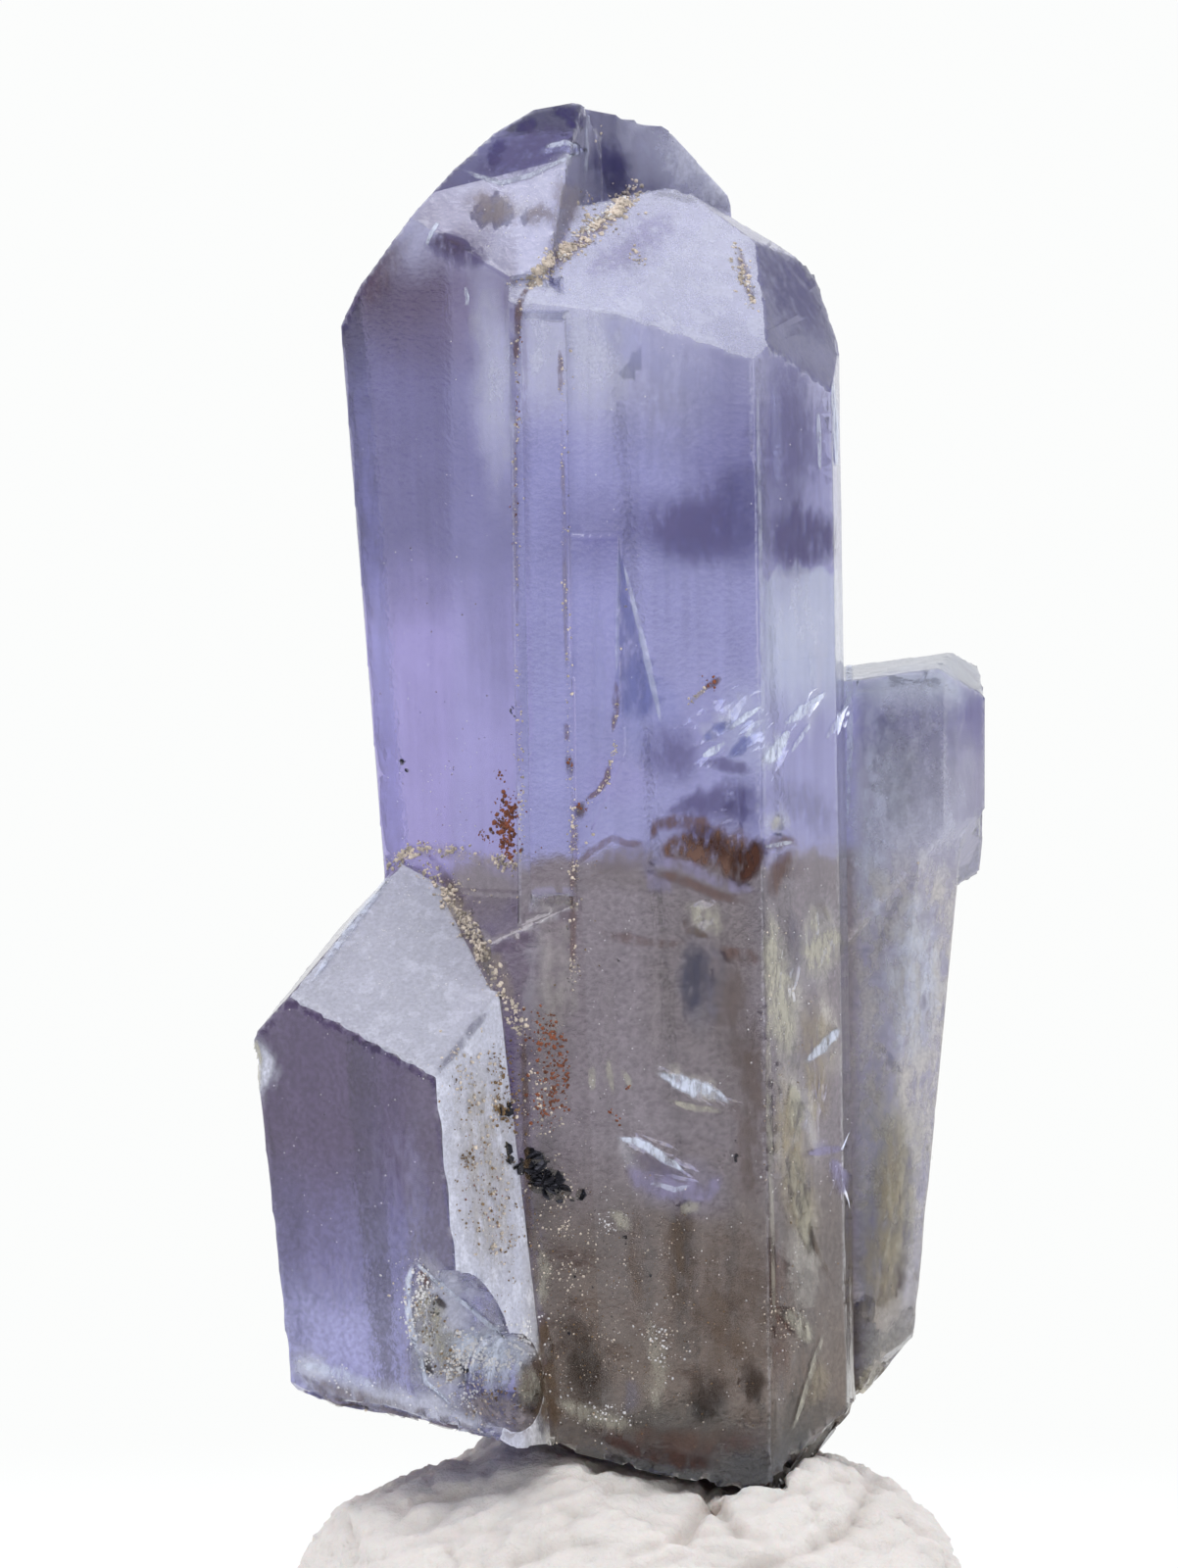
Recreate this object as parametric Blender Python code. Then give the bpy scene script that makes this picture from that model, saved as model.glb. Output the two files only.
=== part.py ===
"""A small group of intergrown tanzanite crystals, standing in a pinched lump of mounting putty.

Blender's units are metres, with +Z up. Sizes and meshes are in millimetres, and each object's scale
makes them metres. X runs to the right as seen from the front and Y away from the viewer. The origin is
on the surface that the putty rests on, under the middle of the whole object.

Each crystal is a block cut by its crystal faces. A face is given by the direction that it looks in:
azimuth 0 looks to the front, 90 to the right and 180 to the back, and rise is its angle above the
horizon. A side is (azimuth, reach), its distance from the crystal's long axis. A tip is (azimuth,
rise, height), where its plane meets that axis. The axis starts at the foot and leans to the left.
"""

import math

import bmesh
import bpy
from mathutils import Matrix, Vector, noise

MM = 0.001

# Heights: the crystals from their lowest break to the top, and the putty that they stand in
FOOT_HEIGHT = 3.9
PUTTY_HEIGHT = 4.15

# Crystal and putty stay this far apart where they touch
CONTACT_GAP = 0.05

# A block starts at this size before its faces are cut
BLOCK_SIZE = 60.0

# The tall crystal in front, with a long flat face and two growth ledges on its left half
FRONT_CRYSTAL = dict(
    sides=[(2, 2.54), (52, 2.53), (83, 2.61), (118, 2.58), (153, 2.75), (178, 2.55), (-92, 2.54)],
    tips=[
        (12.4, 53.4, 20.0),
        (23.6, 46.2, 20.18),
        (66.2, 27.9, 21.94),
        (78, 55, 20.3),
        (118, 50, 20.9),
        (165, 50, 20.4),
        (-140, 55, 20.42),
        (0, -90, -2.0),
    ],
    foot=(1.15, -0.05, FOOT_HEIGHT),
    lean_left=1.0,
)
LEDGE_DEPTH = 0.6
LEFT_LEDGE = dict(left=-2.52, right=-1.79, proud=0.12, top=(2, 45, 20.85), bottom=(2, -45, 6.3))
RIGHT_LEDGE = dict(left=-1.9, right=-1.0, proud=0.06, top=(2, 50, 16.9), bottom=(88, -25, 12.9))

# The taller crystal behind it, to the left, with a many-faced rounded top
BACK_CRYSTAL = dict(
    sides=[(-35, 1.98), (-106, 2.49), (-152, 2.95), (175, 2.45), (73, 1.35), (4, 2.48)],
    tips=[
        (-7.5, 50.9, 21.28),
        (-4.3, 42.1, 21.58),
        (-97, 32, 22.5),
        (-97, 43, 21.3),
        (-97, 50, 21.15),
        (-95, 63, 21.15),
        (-95, 84, 21.4),
        (165, 52, 21.9),
        (-140, 48, 22.1),
        (0, -90, -2.0),
    ],
    foot=(-0.35, 0.15, FOOT_HEIGHT),
    lean_left=4.5,
)

# A flatter crystal grown against the back of both, which shows as the shoulder at the right of the top
SHOULDER_CRYSTAL = dict(
    sides=[(12, -0.35), (90, 3.69), (178, 2.7), (-100, -1.1)],
    tips=[
        (25, 45, 21.4),
        (90, 62, 22.65),
        (90, 53, 23.05),
        (95, 38, 24.62),
        (170, 50, 22.2),
        (0, -90, -2.0),
    ],
    foot=(-0.35, 0.15, FOOT_HEIGHT),
    lean_left=4.5,
)

# The block that the short crystal grew on, between it and the two tall ones
ROOT_CRYSTAL = dict(
    sides=[(-66, 2.55), (9, 2.77), (75, 2.2), (170, 0.0)],
    tips=[(-32, 58, 10.35), (0, -90, -2.0)],
    foot=(-0.35, 0.15, FOOT_HEIGHT),
    lean_left=2.0,
)

# The short crystal at the front left
SIDE_CRYSTAL = dict(
    sides=[(-35, 1.54), (50, 1.59), (-112, 2.33), (150, 2.4)],
    tips=[(1.1, 48.6, 8.05), (-89.8, 47.5, 9.35), (150, 55, 10.4), (0, -90, -2.0)],
    foot=(-2.6, -2.1, FOOT_HEIGHT),
    lean_left=6.0,
)

# The thin crystal at the back right, and its wider head
REAR_STEM = dict(
    sides=[(-10, 1.25), (45, 1.2), (90, 1.03), (140, 1.3), (180, 1.3), (-90, 1.4)],
    tips=[(0, 80, 11.9), (0, -90, -2.0)],
    foot=(3.6, 2.6, FOOT_HEIGHT),
    lean_left=-5.4,
)
REAR_HEAD = dict(
    sides=[(-5, 1.35), (48, 1.18), (92, 1.0), (138, 1.3), (180, 1.4), (-90, 1.4)],
    tips=[(-60, 80, 12.5), (75, 48, 12.96), (-175, 62, 12.8), (60, -38, 8.5), (-170, -50, 8.3)],
    foot=(4.9, 2.6, FOOT_HEIGHT),
    lean_left=0.0,
)

# Where the group was broken from the rock: (point on the break, azimuth, rise, roughness, seed)
BREAK_CELL = 0.42
BREAK_HALF_SIZE = 7.0
BREAK_THICKNESS = 7.0
BREAKS = {
    "foot_break": ((1.1, 0.0, 3.52), -90, -78, 0.13, 3),
    "left_break": ((-3.65, -2.4, 4.5), -55, -66, 0.16, 11),
    "right_break": ((4.0, 0.6, 4.75), 80, -36, 0.18, 7),
    "rear_break": ((3.0, 3.4, 4.9), 150, -48, 0.16, 19),
}

# Shell-shaped chips, as balls that bite into the surface: (centre, radius on each axis, seed)
CHIP_ROUGHNESS = 0.10
CHIPS = {
    "side_chip": ((-2.3, -4.45, 5.45), (1.35, 1.35, 1.6), 5),
    "ridge_chip": ((-1.72, -3.28, 5.15), (0.72, 0.72, 0.80), 14),
    "corner_chip": ((-6.05, -2.35, 10.0), (0.32, 0.5, 0.55), 8),
    "edge_chip": ((3.75, 0.2, 21.6), (0.3, 0.5, 0.45), 21),
    "rear_head_chip": ((6.25, 2.2, 13.7), (0.45, 0.9, 0.5), 27),
}

# The lump of putty: half sizes, how square it is, and where fingers and the crystals pressed it
PUTTY_HALF_WIDTH = 5.6
PUTTY_HALF_DEPTH = 4.9
PUTTY_MIDDLE_HEIGHT = 1.0
PUTTY_OFFSET = 0.2
PUTTY_SQUARENESS = 2.5
PUTTY_LUMPS = 0.28
PUTTY_SEED = 31
PUTTY_PRESSES = [
    ((0.9, -3.3, 3.9), 1.5, (0.0, 0.25, -0.50)),
    ((-2.6, -3.6, 3.0), 1.9, (0.1, 0.55, -0.15)),
    ((3.9, -3.2, 2.6), 1.8, (-0.15, 0.55, -0.1)),
    ((-4.6, 0.6, 2.8), 1.5, (0.5, 0.0, -0.1)),
    ((4.9, 1.6, 3.2), 1.4, (-0.25, 0.0, 0.2)),
    ((0.4, 4.6, 2.6), 1.8, (0.0, -0.55, 0.0)),
    ((0.9, 2.9, 3.9), 2.6, (0.0, 0.0, 0.95)),
    ((-1.6, 1.9, 3.9), 1.9, (0.0, 0.0, 0.5)),
]

TANZANITE_COLOUR = (0.30, 0.27, 0.50, 1.0)
PUTTY_COLOUR = (0.66, 0.62, 0.59, 1.0)


# The scene and its materials


def clear_scene():
    for obj in list(bpy.data.objects):
        bpy.data.objects.remove(obj)


def new_collection(name):
    collection = bpy.data.collections.new(name)
    bpy.context.scene.collection.children.link(collection)
    return collection


def new_material(name, colour, roughness, transmission=0.0):
    material = bpy.data.materials.new(name)
    material.use_nodes = True
    shader = material.node_tree.nodes["Principled BSDF"]
    shader.inputs["Base Color"].default_value = colour
    shader.inputs["Roughness"].default_value = roughness
    shader.inputs["Metallic"].default_value = 0.0
    shader.inputs["Transmission Weight"].default_value = transmission
    return material


def add_object(name, shape, collection):
    """Turns a bmesh in millimetres into an object."""
    mesh = bpy.data.meshes.new(name)
    shape.to_mesh(mesh)
    shape.free()
    obj = bpy.data.objects.new(name, mesh)
    obj.scale = (MM, MM, MM)
    collection.objects.link(obj)
    return obj


def add_tools(name, shapes, parent):
    """Puts shapes that cut or join into a collection of their own, hidden from view."""
    tools = bpy.data.collections.new(name)
    parent.children.link(tools)
    for shape_name, shape in shapes.items():
        tool = add_object(f"{name}_{shape_name}", shape, tools)
        tool.hide_render = True
        tool.display_type = "WIRE"
    return tools


def add_boolean(obj, tools, operation):
    """Joins a whole collection to the object, or cuts it away, in one step."""
    modifier = obj.modifiers.new(tools.name, "BOOLEAN")
    modifier.operand_type = "COLLECTION"
    modifier.collection = tools
    modifier.operation = operation
    modifier.solver = "EXACT"


# Crystals as blocks cut by their faces


def face_normal(azimuth, rise):
    a = math.radians(azimuth)
    r = math.radians(rise)
    return Vector((math.sin(a) * math.cos(r), -math.cos(a) * math.cos(r), math.sin(r)))


def cut_away(block, point, normal):
    """Removes what lies past the plane and closes the cut."""
    cut = bmesh.ops.bisect_plane(
        block,
        geom=block.verts[:] + block.edges[:] + block.faces[:],
        dist=1e-5,
        plane_co=point,
        plane_no=normal,
        clear_outer=True,
    )
    rim = [item for item in cut["geom_cut"] if isinstance(item, bmesh.types.BMEdge)]
    if rim:
        bmesh.ops.contextual_create(block, geom=rim)


def cut_crystal(sides, tips, foot, lean_left, grow=0.0):
    """A crystal as a bmesh, with each of its faces moved out by grow."""
    block = bmesh.new()
    bmesh.ops.create_cube(block, size=BLOCK_SIZE)
    for azimuth, reach in sides:
        normal = face_normal(azimuth, 0.0)
        cut_away(block, normal * (reach + grow), normal)
    for azimuth, rise, height in tips:
        normal = face_normal(azimuth, rise)
        cut_away(block, Vector((0.0, 0.0, height)) + normal * grow, normal)
    bmesh.ops.remove_doubles(block, verts=block.verts, dist=1e-4)
    lean = Matrix.Rotation(math.radians(-lean_left), 4, "Y")
    place = Matrix.Translation(Vector(foot)) @ lean
    bmesh.ops.transform(block, matrix=place, verts=block.verts)
    bmesh.ops.recalc_face_normals(block, faces=block.faces)
    return block


def cut_ledge(left, right, proud, top, bottom, grow=0.0):
    """A thin growth layer that stands proud of the front crystal's long face."""
    azimuth, reach = FRONT_CRYSTAL["sides"][0]
    sides = [
        (azimuth, reach + proud),
        (azimuth + 180, LEDGE_DEPTH - reach),
        (azimuth + 90, right),
        (azimuth - 90, -left),
    ]
    foot = FRONT_CRYSTAL["foot"]
    return cut_crystal(sides, [top, bottom], foot, FRONT_CRYSTAL["lean_left"], grow)


# Breaks and chips


def break_height(x, y, seed):
    """The broken surface's height at a point, between about -1 and 1."""
    broad = noise.fractal(Vector((x * 0.35, y * 0.35, seed)), 0.9, 2.1, 3)
    fine = noise.noise(Vector((x * 1.7, y * 1.7, seed + 0.5)))
    return broad + 0.5 * fine


def rough_slab(point, azimuth, rise, roughness, seed, grow=0.0):
    """A slab with one broken side. It takes away what lies past the point in the given direction."""
    slab = bmesh.new()
    cells = round(2 * BREAK_HALF_SIZE / BREAK_CELL)
    bmesh.ops.create_grid(slab, x_segments=cells, y_segments=cells, size=BREAK_HALF_SIZE)
    for vert in slab.verts:
        vert.co.z = roughness * break_height(vert.co.x, vert.co.y, seed)
    lid = bmesh.ops.extrude_face_region(slab, geom=slab.faces[:])
    for item in lid["geom"]:
        if isinstance(item, bmesh.types.BMVert):
            item.co.z = BREAK_THICKNESS
    normal = face_normal(azimuth, rise)
    turn = normal.to_track_quat("Z", "Y").to_matrix().to_4x4()
    place = Matrix.Translation(Vector(point) + normal * grow) @ turn
    bmesh.ops.transform(slab, matrix=place, verts=slab.verts)
    bmesh.ops.recalc_face_normals(slab, faces=slab.faces)
    return slab


def rough_ball(centre, radii, seed, grow=0.0):
    """A ball that bites a shell-shaped chip out of a crystal."""
    ball = bmesh.new()
    bmesh.ops.create_icosphere(ball, subdivisions=3, radius=1.0)
    for vert in ball.verts:
        direction = vert.co.normalized()
        swell = 1.0 + CHIP_ROUGHNESS * noise.noise(direction * 1.6 + Vector((seed, 0.0, 0.0)))
        size = Matrix.Diagonal([radius - grow for radius in radii])
        vert.co = Vector(centre) + size @ direction * swell
    return ball


# The crystal group


def build_group(name, collection, cutters, grow=0.0):
    """All the crystals joined as one solid, with their surface moved out by grow."""
    group = add_object(name, cut_crystal(**BACK_CRYSTAL, grow=grow), collection)
    joined = {
        "front": cut_crystal(**FRONT_CRYSTAL, grow=grow),
        "shoulder": cut_crystal(**SHOULDER_CRYSTAL, grow=grow),
        "root": cut_crystal(**ROOT_CRYSTAL, grow=grow),
        "side": cut_crystal(**SIDE_CRYSTAL, grow=grow),
        "rear_stem": cut_crystal(**REAR_STEM, grow=grow),
        "rear_head": cut_crystal(**REAR_HEAD, grow=grow),
        "left_ledge": cut_ledge(**LEFT_LEDGE, grow=grow),
        "right_ledge": cut_ledge(**RIGHT_LEDGE, grow=grow),
    }
    taken = {break_name: rough_slab(*values, grow=grow) for break_name, values in BREAKS.items()}
    taken.update({chip_name: rough_ball(*values, grow=grow) for chip_name, values in CHIPS.items()})
    add_boolean(group, add_tools(f"{name}_joined", joined, cutters), "UNION")
    add_boolean(group, add_tools(f"{name}_taken", taken, cutters), "DIFFERENCE")
    return group


# The putty


def round_off(direction):
    """The distance to the surface of the squarish, flattened lump along a direction."""
    half = (PUTTY_HALF_WIDTH, PUTTY_HALF_DEPTH, PUTTY_HEIGHT - PUTTY_MIDDLE_HEIGHT)
    total = sum(abs(d / h) ** PUTTY_SQUARENESS for d, h in zip(direction, half))
    return total ** (-1.0 / PUTTY_SQUARENESS)


def build_putty(name, collection, sockets):
    lump = bmesh.new()
    bmesh.ops.create_icosphere(lump, subdivisions=4, radius=1.0)
    middle = Vector((PUTTY_OFFSET, 0.0, PUTTY_MIDDLE_HEIGHT))
    for vert in lump.verts:
        direction = vert.co.normalized()
        lumps = noise.fractal(direction * 1.5 + Vector((PUTTY_SEED, 0.0, 0.0)), 0.8, 2.0, 3)
        spot = middle + direction * (round_off(direction) + PUTTY_LUMPS * (lumps - 0.5))
        for centre, radius, push in PUTTY_PRESSES:
            nearness = max(0.0, 1.0 - (spot - Vector(centre)).length / radius)
            spot += Vector(push) * nearness * nearness * (3.0 - 2.0 * nearness)
        vert.co = spot
    cut_away(lump, Vector((0.0, 0.0, 0.0)), Vector((0.0, 0.0, -1.0)))
    bmesh.ops.recalc_face_normals(lump, faces=lump.faces)
    putty = add_object(name, lump, collection)
    add_boolean(putty, sockets, "DIFFERENCE")
    return putty


def main():
    clear_scene()
    shown = new_collection("Tanzanite crystal")
    cutters = new_collection("Cutters")
    sockets = new_collection("Sockets")
    group = build_group("crystal_group", shown, cutters)
    socket = build_group("socket", sockets, cutters, grow=CONTACT_GAP)
    socket.hide_render = True
    socket.display_type = "WIRE"
    putty = build_putty("mounting_putty", shown, sockets)
    group.data.materials.append(new_material("Tanzanite", TANZANITE_COLOUR, 0.12, transmission=0.85))
    putty.data.materials.append(new_material("Putty", PUTTY_COLOUR, 0.85))


main()
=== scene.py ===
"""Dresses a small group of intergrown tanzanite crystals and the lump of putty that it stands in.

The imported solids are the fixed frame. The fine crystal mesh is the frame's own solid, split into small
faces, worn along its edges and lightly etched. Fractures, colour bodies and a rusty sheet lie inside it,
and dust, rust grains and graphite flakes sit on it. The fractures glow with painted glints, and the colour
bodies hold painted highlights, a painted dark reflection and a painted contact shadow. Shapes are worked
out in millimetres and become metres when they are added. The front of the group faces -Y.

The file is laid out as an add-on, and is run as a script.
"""

import math
import random

import bmesh
import bpy
from bpy.props import FloatProperty, FloatVectorProperty, IntProperty, PointerProperty
from bpy.types import Operator, Panel, PropertyGroup
from mathutils import Euler, Matrix, Vector, noise
from mathutils.bvhtree import BVHTree


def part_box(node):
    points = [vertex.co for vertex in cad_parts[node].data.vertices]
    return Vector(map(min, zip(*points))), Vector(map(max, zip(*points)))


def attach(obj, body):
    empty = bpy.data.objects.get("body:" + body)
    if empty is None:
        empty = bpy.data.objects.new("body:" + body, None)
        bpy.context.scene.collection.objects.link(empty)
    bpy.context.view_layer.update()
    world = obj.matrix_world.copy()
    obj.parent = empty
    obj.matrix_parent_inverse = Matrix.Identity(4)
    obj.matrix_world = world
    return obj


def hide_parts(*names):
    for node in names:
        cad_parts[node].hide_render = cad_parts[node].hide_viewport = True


bl_info = {
    "name": "Tanzanite crystal group",
    "version": (1, 0, 0),
    "blender": (4, 5, 0),
    "location": "View3D > Sidebar > Tanzanite",
    "description": "Surfaces, inner features and studio for a tanzanite crystal group in putty",
    "category": "Add Mesh",
}

MM = 0.001
BODY = "root"

# A cut this close to a corner runs through it
SNAP = 0.004

# The solid's faces that are smaller than this belong to its rough breaks
BREAK_FACE_AREA = 0.30

# A face narrower than this, in millimetres, is the step of a growth ledge
THIN_FACE_WIDTH = 0.14

# The frosted skin: its thickness, and the share below which it is left out
SKIN_THICKNESS = 0.006
SKIN_LEAST = 0.08

# A face frosted more than this is covered up to its edges
FROSTED_FACE = 0.15

# How deep a cloud of colour reaches from front to back, in millimetres each way
PATCH_DEPTH = 1.3

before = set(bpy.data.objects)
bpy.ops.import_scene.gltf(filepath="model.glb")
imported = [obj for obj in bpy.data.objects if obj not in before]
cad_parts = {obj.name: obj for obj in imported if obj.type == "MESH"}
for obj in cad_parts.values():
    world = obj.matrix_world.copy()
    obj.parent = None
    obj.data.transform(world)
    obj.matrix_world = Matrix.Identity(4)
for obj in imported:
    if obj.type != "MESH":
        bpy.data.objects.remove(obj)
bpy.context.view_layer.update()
CRYSTAL_LOW, CRYSTAL_HIGH = (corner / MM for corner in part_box("crystal_group"))

# The picture that the view follows: its size in pixels, and where the group's foot and top stand in it
PICTURE_WIDTH = 1202
PICTURE_HEIGHT = 1600
FOOT_PX = 1500
TOP_PX = 105
MIDDLE_LINE_PX = 633
GROUND_PX = 1720
GROUP_HEIGHT = 22.0
PIXEL = GROUP_HEIGHT / (FOOT_PX - TOP_PX)

# The camera: its distance and how far it looks down
CAMERA_DISTANCE = 250.0
CAMERA_RISE = 3.0
CAMERA_SENSOR = 36.0

# Colour zones up each crystal: (height, name of a colour in the settings)
FRONT_ZONES = [
    (3.6, "umber"),
    (4.6, "foot_brown"),
    (7.2, "smoke"),
    (9.2, "dusk"),
    (13.3, "dusk"),
    (13.5, "lilac"),
    (15.2, "lilac"),
    (19.6, "lilac"),
    (21.2, "pale_lilac"),
]
BACK_ZONES = [
    (4.6, "lilac"),
    (6.0, "lilac"),
    (7.2, "violet"),
    (9.0, "mauve"),
    (12.6, "mauve"),
    (13.3, "bright_violet"),
    (16.6, "bright_violet"),
    (18.6, "violet"),
    (21.0, "violet"),
    (22.4, "mauve"),
    (23.6, "pale_lilac"),
]
REAR_ZONES = [
    (4.2, "straw"),
    (7.5, "grey_lilac"),
    (9.5, "grey_lilac"),
    (14.4, "grey_lilac"),
    (15.6, "violet"),
    (16.6, "dusk"),
]

# Crystal faces with a finish of their own: (pixel on the face, frosting, painted dark reflection)
FACE_FINISHES = [
    ((520, 205), 0.16, 0.00),
    ((545, 145), 0.05, 1.00),
    ((640, 255), 0.38, 0.00),
    ((700, 300), 0.55, 0.00),
    ((815, 300), 0.05, 0.95),
    ((700, 420), 0.10, 0.00),
    ((420, 600), 0.05, 0.00),
    ((815, 700), 0.10, 0.00),
    ((400, 1000), 0.76, 0.00),
    ((350, 1200), 0.05, 0.00),
    ((500, 1200), 1.22, 0.00),
]

# Clouds of colour in the surface, some of them painted highlights over the fractures: (pixel, half width
# and half height in pixels, turn, softness, colour, strength). Later ones lie over earlier ones.
CLOUDS = [
    ((392, 300), 34, 55, -25, 0.8, "umber", 0.20),
    ((445, 335), 46, 50, 0, 0.8, "mauve", 0.60),
    ((507, 395), 20, 95, 2, 0.7, "pale_lilac", 0.80),
    ((503, 650), 22, 80, 0, 0.8, "violet", 0.40),
    ((480, 250), 26, 20, 20, 0.5, "mauve", 0.75),
    ((520, 212), 26, 9, 25, 0.6, "dusk", 0.50),
    ((570, 200), 12, 20, -15, 0.6, "lilac", 0.35),
    ((548, 138), 18, 8, 30, 0.6, "mauve", 0.50),
    ((625, 178), 16, 34, 0, 0.6, "indigo", 0.60),
    ((690, 150), 30, 22, -35, 0.7, "lilac", 0.50),
    ((735, 200), 12, 26, -20, 0.7, "mauve", 0.40),
    ((600, 350), 40, 60, 0, 0.8, "white_veil_and_highlight", 0.30),
    ((748, 455), 44, 105, 0, 0.7, "violet", 0.85),
    ((700, 540), 60, 34, 0, 0.5, "indigo", 0.80),
    ((760, 520), 30, 50, 0, 0.5, "indigo", 0.85),
    ((800, 445), 22, 150, 0, 0.35, "violet", 0.95),
    ((825, 545), 50, 28, 0, 0.4, "indigo", 0.80),
    ((600, 540), 40, 40, 0, 0.8, "violet", 0.55),
    ((557, 570), 16, 40, 0, 0.7, "violet", 0.2),
    ((808, 450), 28, 130, 0, 0.5, "indigo", 0.40),
    ((650, 530), 50, 30, 0, 0.6, "violet", 0.60),
    ((405, 250), 60, 7, 45, 0.6, "umber", 0.25),
    ((660, 730), 34, 46, 20, 0.25, "blue_lilac", 0.60),
    ((680, 770), 34, 36, 25, 0.35, "violet", 0.60),
    ((728, 828), 52, 20, 20, 0.35, "violet", 0.80),
    ((760, 820), 22, 34, 0, 0.45, "indigo", 0.55),
    ((630, 800), 30, 26, -25, 0.5, "bright_violet", 0.50),
    # Painted highlights of the fractures, in this ice blue cloud and the white veil clouds after it
    ((765, 740), 26, 40, 10, 0.7, "ice_blue", 0.50),
    ((830, 700), 4, 50, -3, 0.6, "white_veil_and_highlight", 0.55),
    ((838, 790), 16, 24, 20, 0.6, "lilac", 0.60),
    ((794, 842), 10, 9, 0, 0.5, "white_veil_and_highlight", 0.60),
    ((780, 940), 16, 40, 0, 0.7, "umber", 0.35),
    ((650, 895), 60, 10, 0, 0.6, "smoke", 0.60),
    ((700, 1000), 40, 120, 0, 0.7, "smoke", 0.70),
    ((748, 1010), 24, 150, 0, 0.5, "smoke", 0.80),
    ((710, 1005), 14, 42, 0, 0.5, "ink", 0.75),
    ((770, 1130), 14, 70, 0, 0.5, "smoke", 0.80),
    ((715, 1320), 60, 115, 0, 0.5, "foot_brown", 0.80),
    ((600, 1370), 50, 80, 0, 0.7, "foot_brown", 0.60),
    ((696, 1270), 9, 26, 0, 0.5, "umber", 0.80),
    ((690, 1330), 5, 60, 2, 0.6, "umber", 0.55),
    ((745, 1300), 6, 70, 0, 0.6, "umber", 0.50),
    ((660, 1300), 5, 50, 0, 0.6, "umber", 0.40),
    ((770, 1418), 9, 10, 0, 0.5, "umber", 0.95),
    ((728, 1432), 16, 14, 10, 0.5, "umber", 0.90),
    ((597, 1395), 14, 34, 10, 0.5, "umber", 0.70),
    ((640, 1450), 90, 22, -14, 0.6, "umber", 0.30),
    ((600, 1415), 30, 30, 0, 0.6, "umber", 0.50),
    ((735, 1100), 40, 60, 0, 0.8, "smoke", 0.50),
    ((696, 1215), 44, 24, -10, 0.4, "lilac", 0.30),
    # Painted highlight: the glint of a fracture
    ((640, 1172), 6, 12, 20, 0.5, "white_veil_and_highlight", 0.45),
    ((805, 1020), 16, 44, 3, 0.6, "straw", 0.95),
    ((792, 960), 6, 30, 4, 0.6, "straw", 0.60),
    # Painted highlights: silvery glints on the right-hand faces, in the white veil clouds here and below
    ((835, 960), 16, 36, -10, 0.6, "white_veil_and_highlight", 0.45),
    ((806, 1150), 12, 60, 3, 0.7, "straw", 0.50),
    ((826, 1130), 5, 44, 8, 0.6, "white_veil_and_highlight", 0.45),
    ((822, 1270), 14, 50, 0, 0.7, "straw", 0.30),
    ((838, 1072), 14, 10, 30, 0.5, "lilac", 0.70),
    ((830, 1175), 16, 3, 8, 0.5, "lilac", 0.70),
    ((845, 1230), 14, 40, 0, 0.7, "foot_brown", 0.35),
    ((800, 1400), 40, 50, 0, 0.8, "foot_brown", 0.70),
    ((560, 960), 26, 50, 0, 0.7, "dusk", 0.70),
    ((490, 915), 40, 34, 0, 0.3, "dusk", 0.95),
    ((512, 985), 24, 60, 0, 0.4, "dusk", 0.90),
    ((555, 1060), 20, 60, 0, 0.7, "smoke", 0.50),
    ((553, 1200), 16, 50, 0, 0.6, "umber", 0.55),
    ((560, 1330), 30, 60, 0, 0.7, "smoke", 0.70),
    ((320, 1250), 60, 50, 0, 0.8, "mauve", 0.40),
    ((390, 1300), 40, 60, 0, 0.8, "lilac", 0.30),
    ((420, 1250), 8, 90, -4, 0.6, "lilac", 0.35),
    ((312, 1398), 12, 14, 30, 0.6, "white_veil_and_highlight", 0.50),
    ((400, 1432), 110, 12, -12, 0.5, "white_veil_and_highlight", 0.45),
    ((445, 1370), 22, 60, 12, 0.5, "dusk", 0.60),
    ((440, 1320), 10, 30, 20, 0.5, "white_veil_and_highlight", 0.50),
    ((500, 1378), 40, 12, -14, 0.5, "white_veil_and_highlight", 0.80),
    ((265, 1090), 8, 24, 0, 0.5, "white_veil_and_highlight", 0.80),
]

# Where the surface has a frosted skin beside the frosted faces, given as the clouds are but with no
# colour
FROSTINGS = [
    ((700, 160), 60, 36, -30, 0.8, 0.40),
    ((735, 205), 16, 30, -20, 0.6, 0.25),
    ((520, 212), 40, 18, 20, 0.6, 0.10),
    ((575, 158), 18, 6, 12, 0.5, 0.35),
    ((545, 345), 16, 60, 0, 0.7, 0.30),
    ((600, 350), 40, 60, 0, 0.8, 0.25),
    ((506, 390), 15, 80, 2, 0.8, 0.25),
    ((820, 625), 40, 46, 0, 0.4, 0.18),
    ((744, 728), 26, 5, 38, 0.6, 0.40),
    ((789, 768), 12, 6, 55, 0.5, 0.60),
    ((794, 842), 10, 9, 0, 0.5, 0.30),
    ((844, 1050), 9, 40, 5, 0.6, 0.35),
    ((806, 1150), 12, 60, 3, 0.7, 0.35),
    ((826, 1130), 5, 44, 8, 0.6, 0.40),
    ((822, 1270), 14, 60, 0, 0.7, 0.20),
    ((706, 1106), 30, 7, -14, 0.4, 0.50),
    ((450, 1350), 22, 60, 8, 0.6, 0.45),
    ((518, 1374), 36, 15, -14, 0.5, 0.75),
    ((400, 1428), 110, 13, -12, 0.5, 0.50),
    ((316, 1396), 18, 12, 30, 0.6, 0.50),
    ((265, 1090), 10, 26, 0, 0.5, 0.80),
    ((930, 1000), 70, 330, 0, 0.4, 0.38),
    ((560, 1000), 26, 60, 0, 0.8, 0.15),
]

# How much of the frosted faces the skin covers
FACE_FROSTING = 0.55

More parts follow.
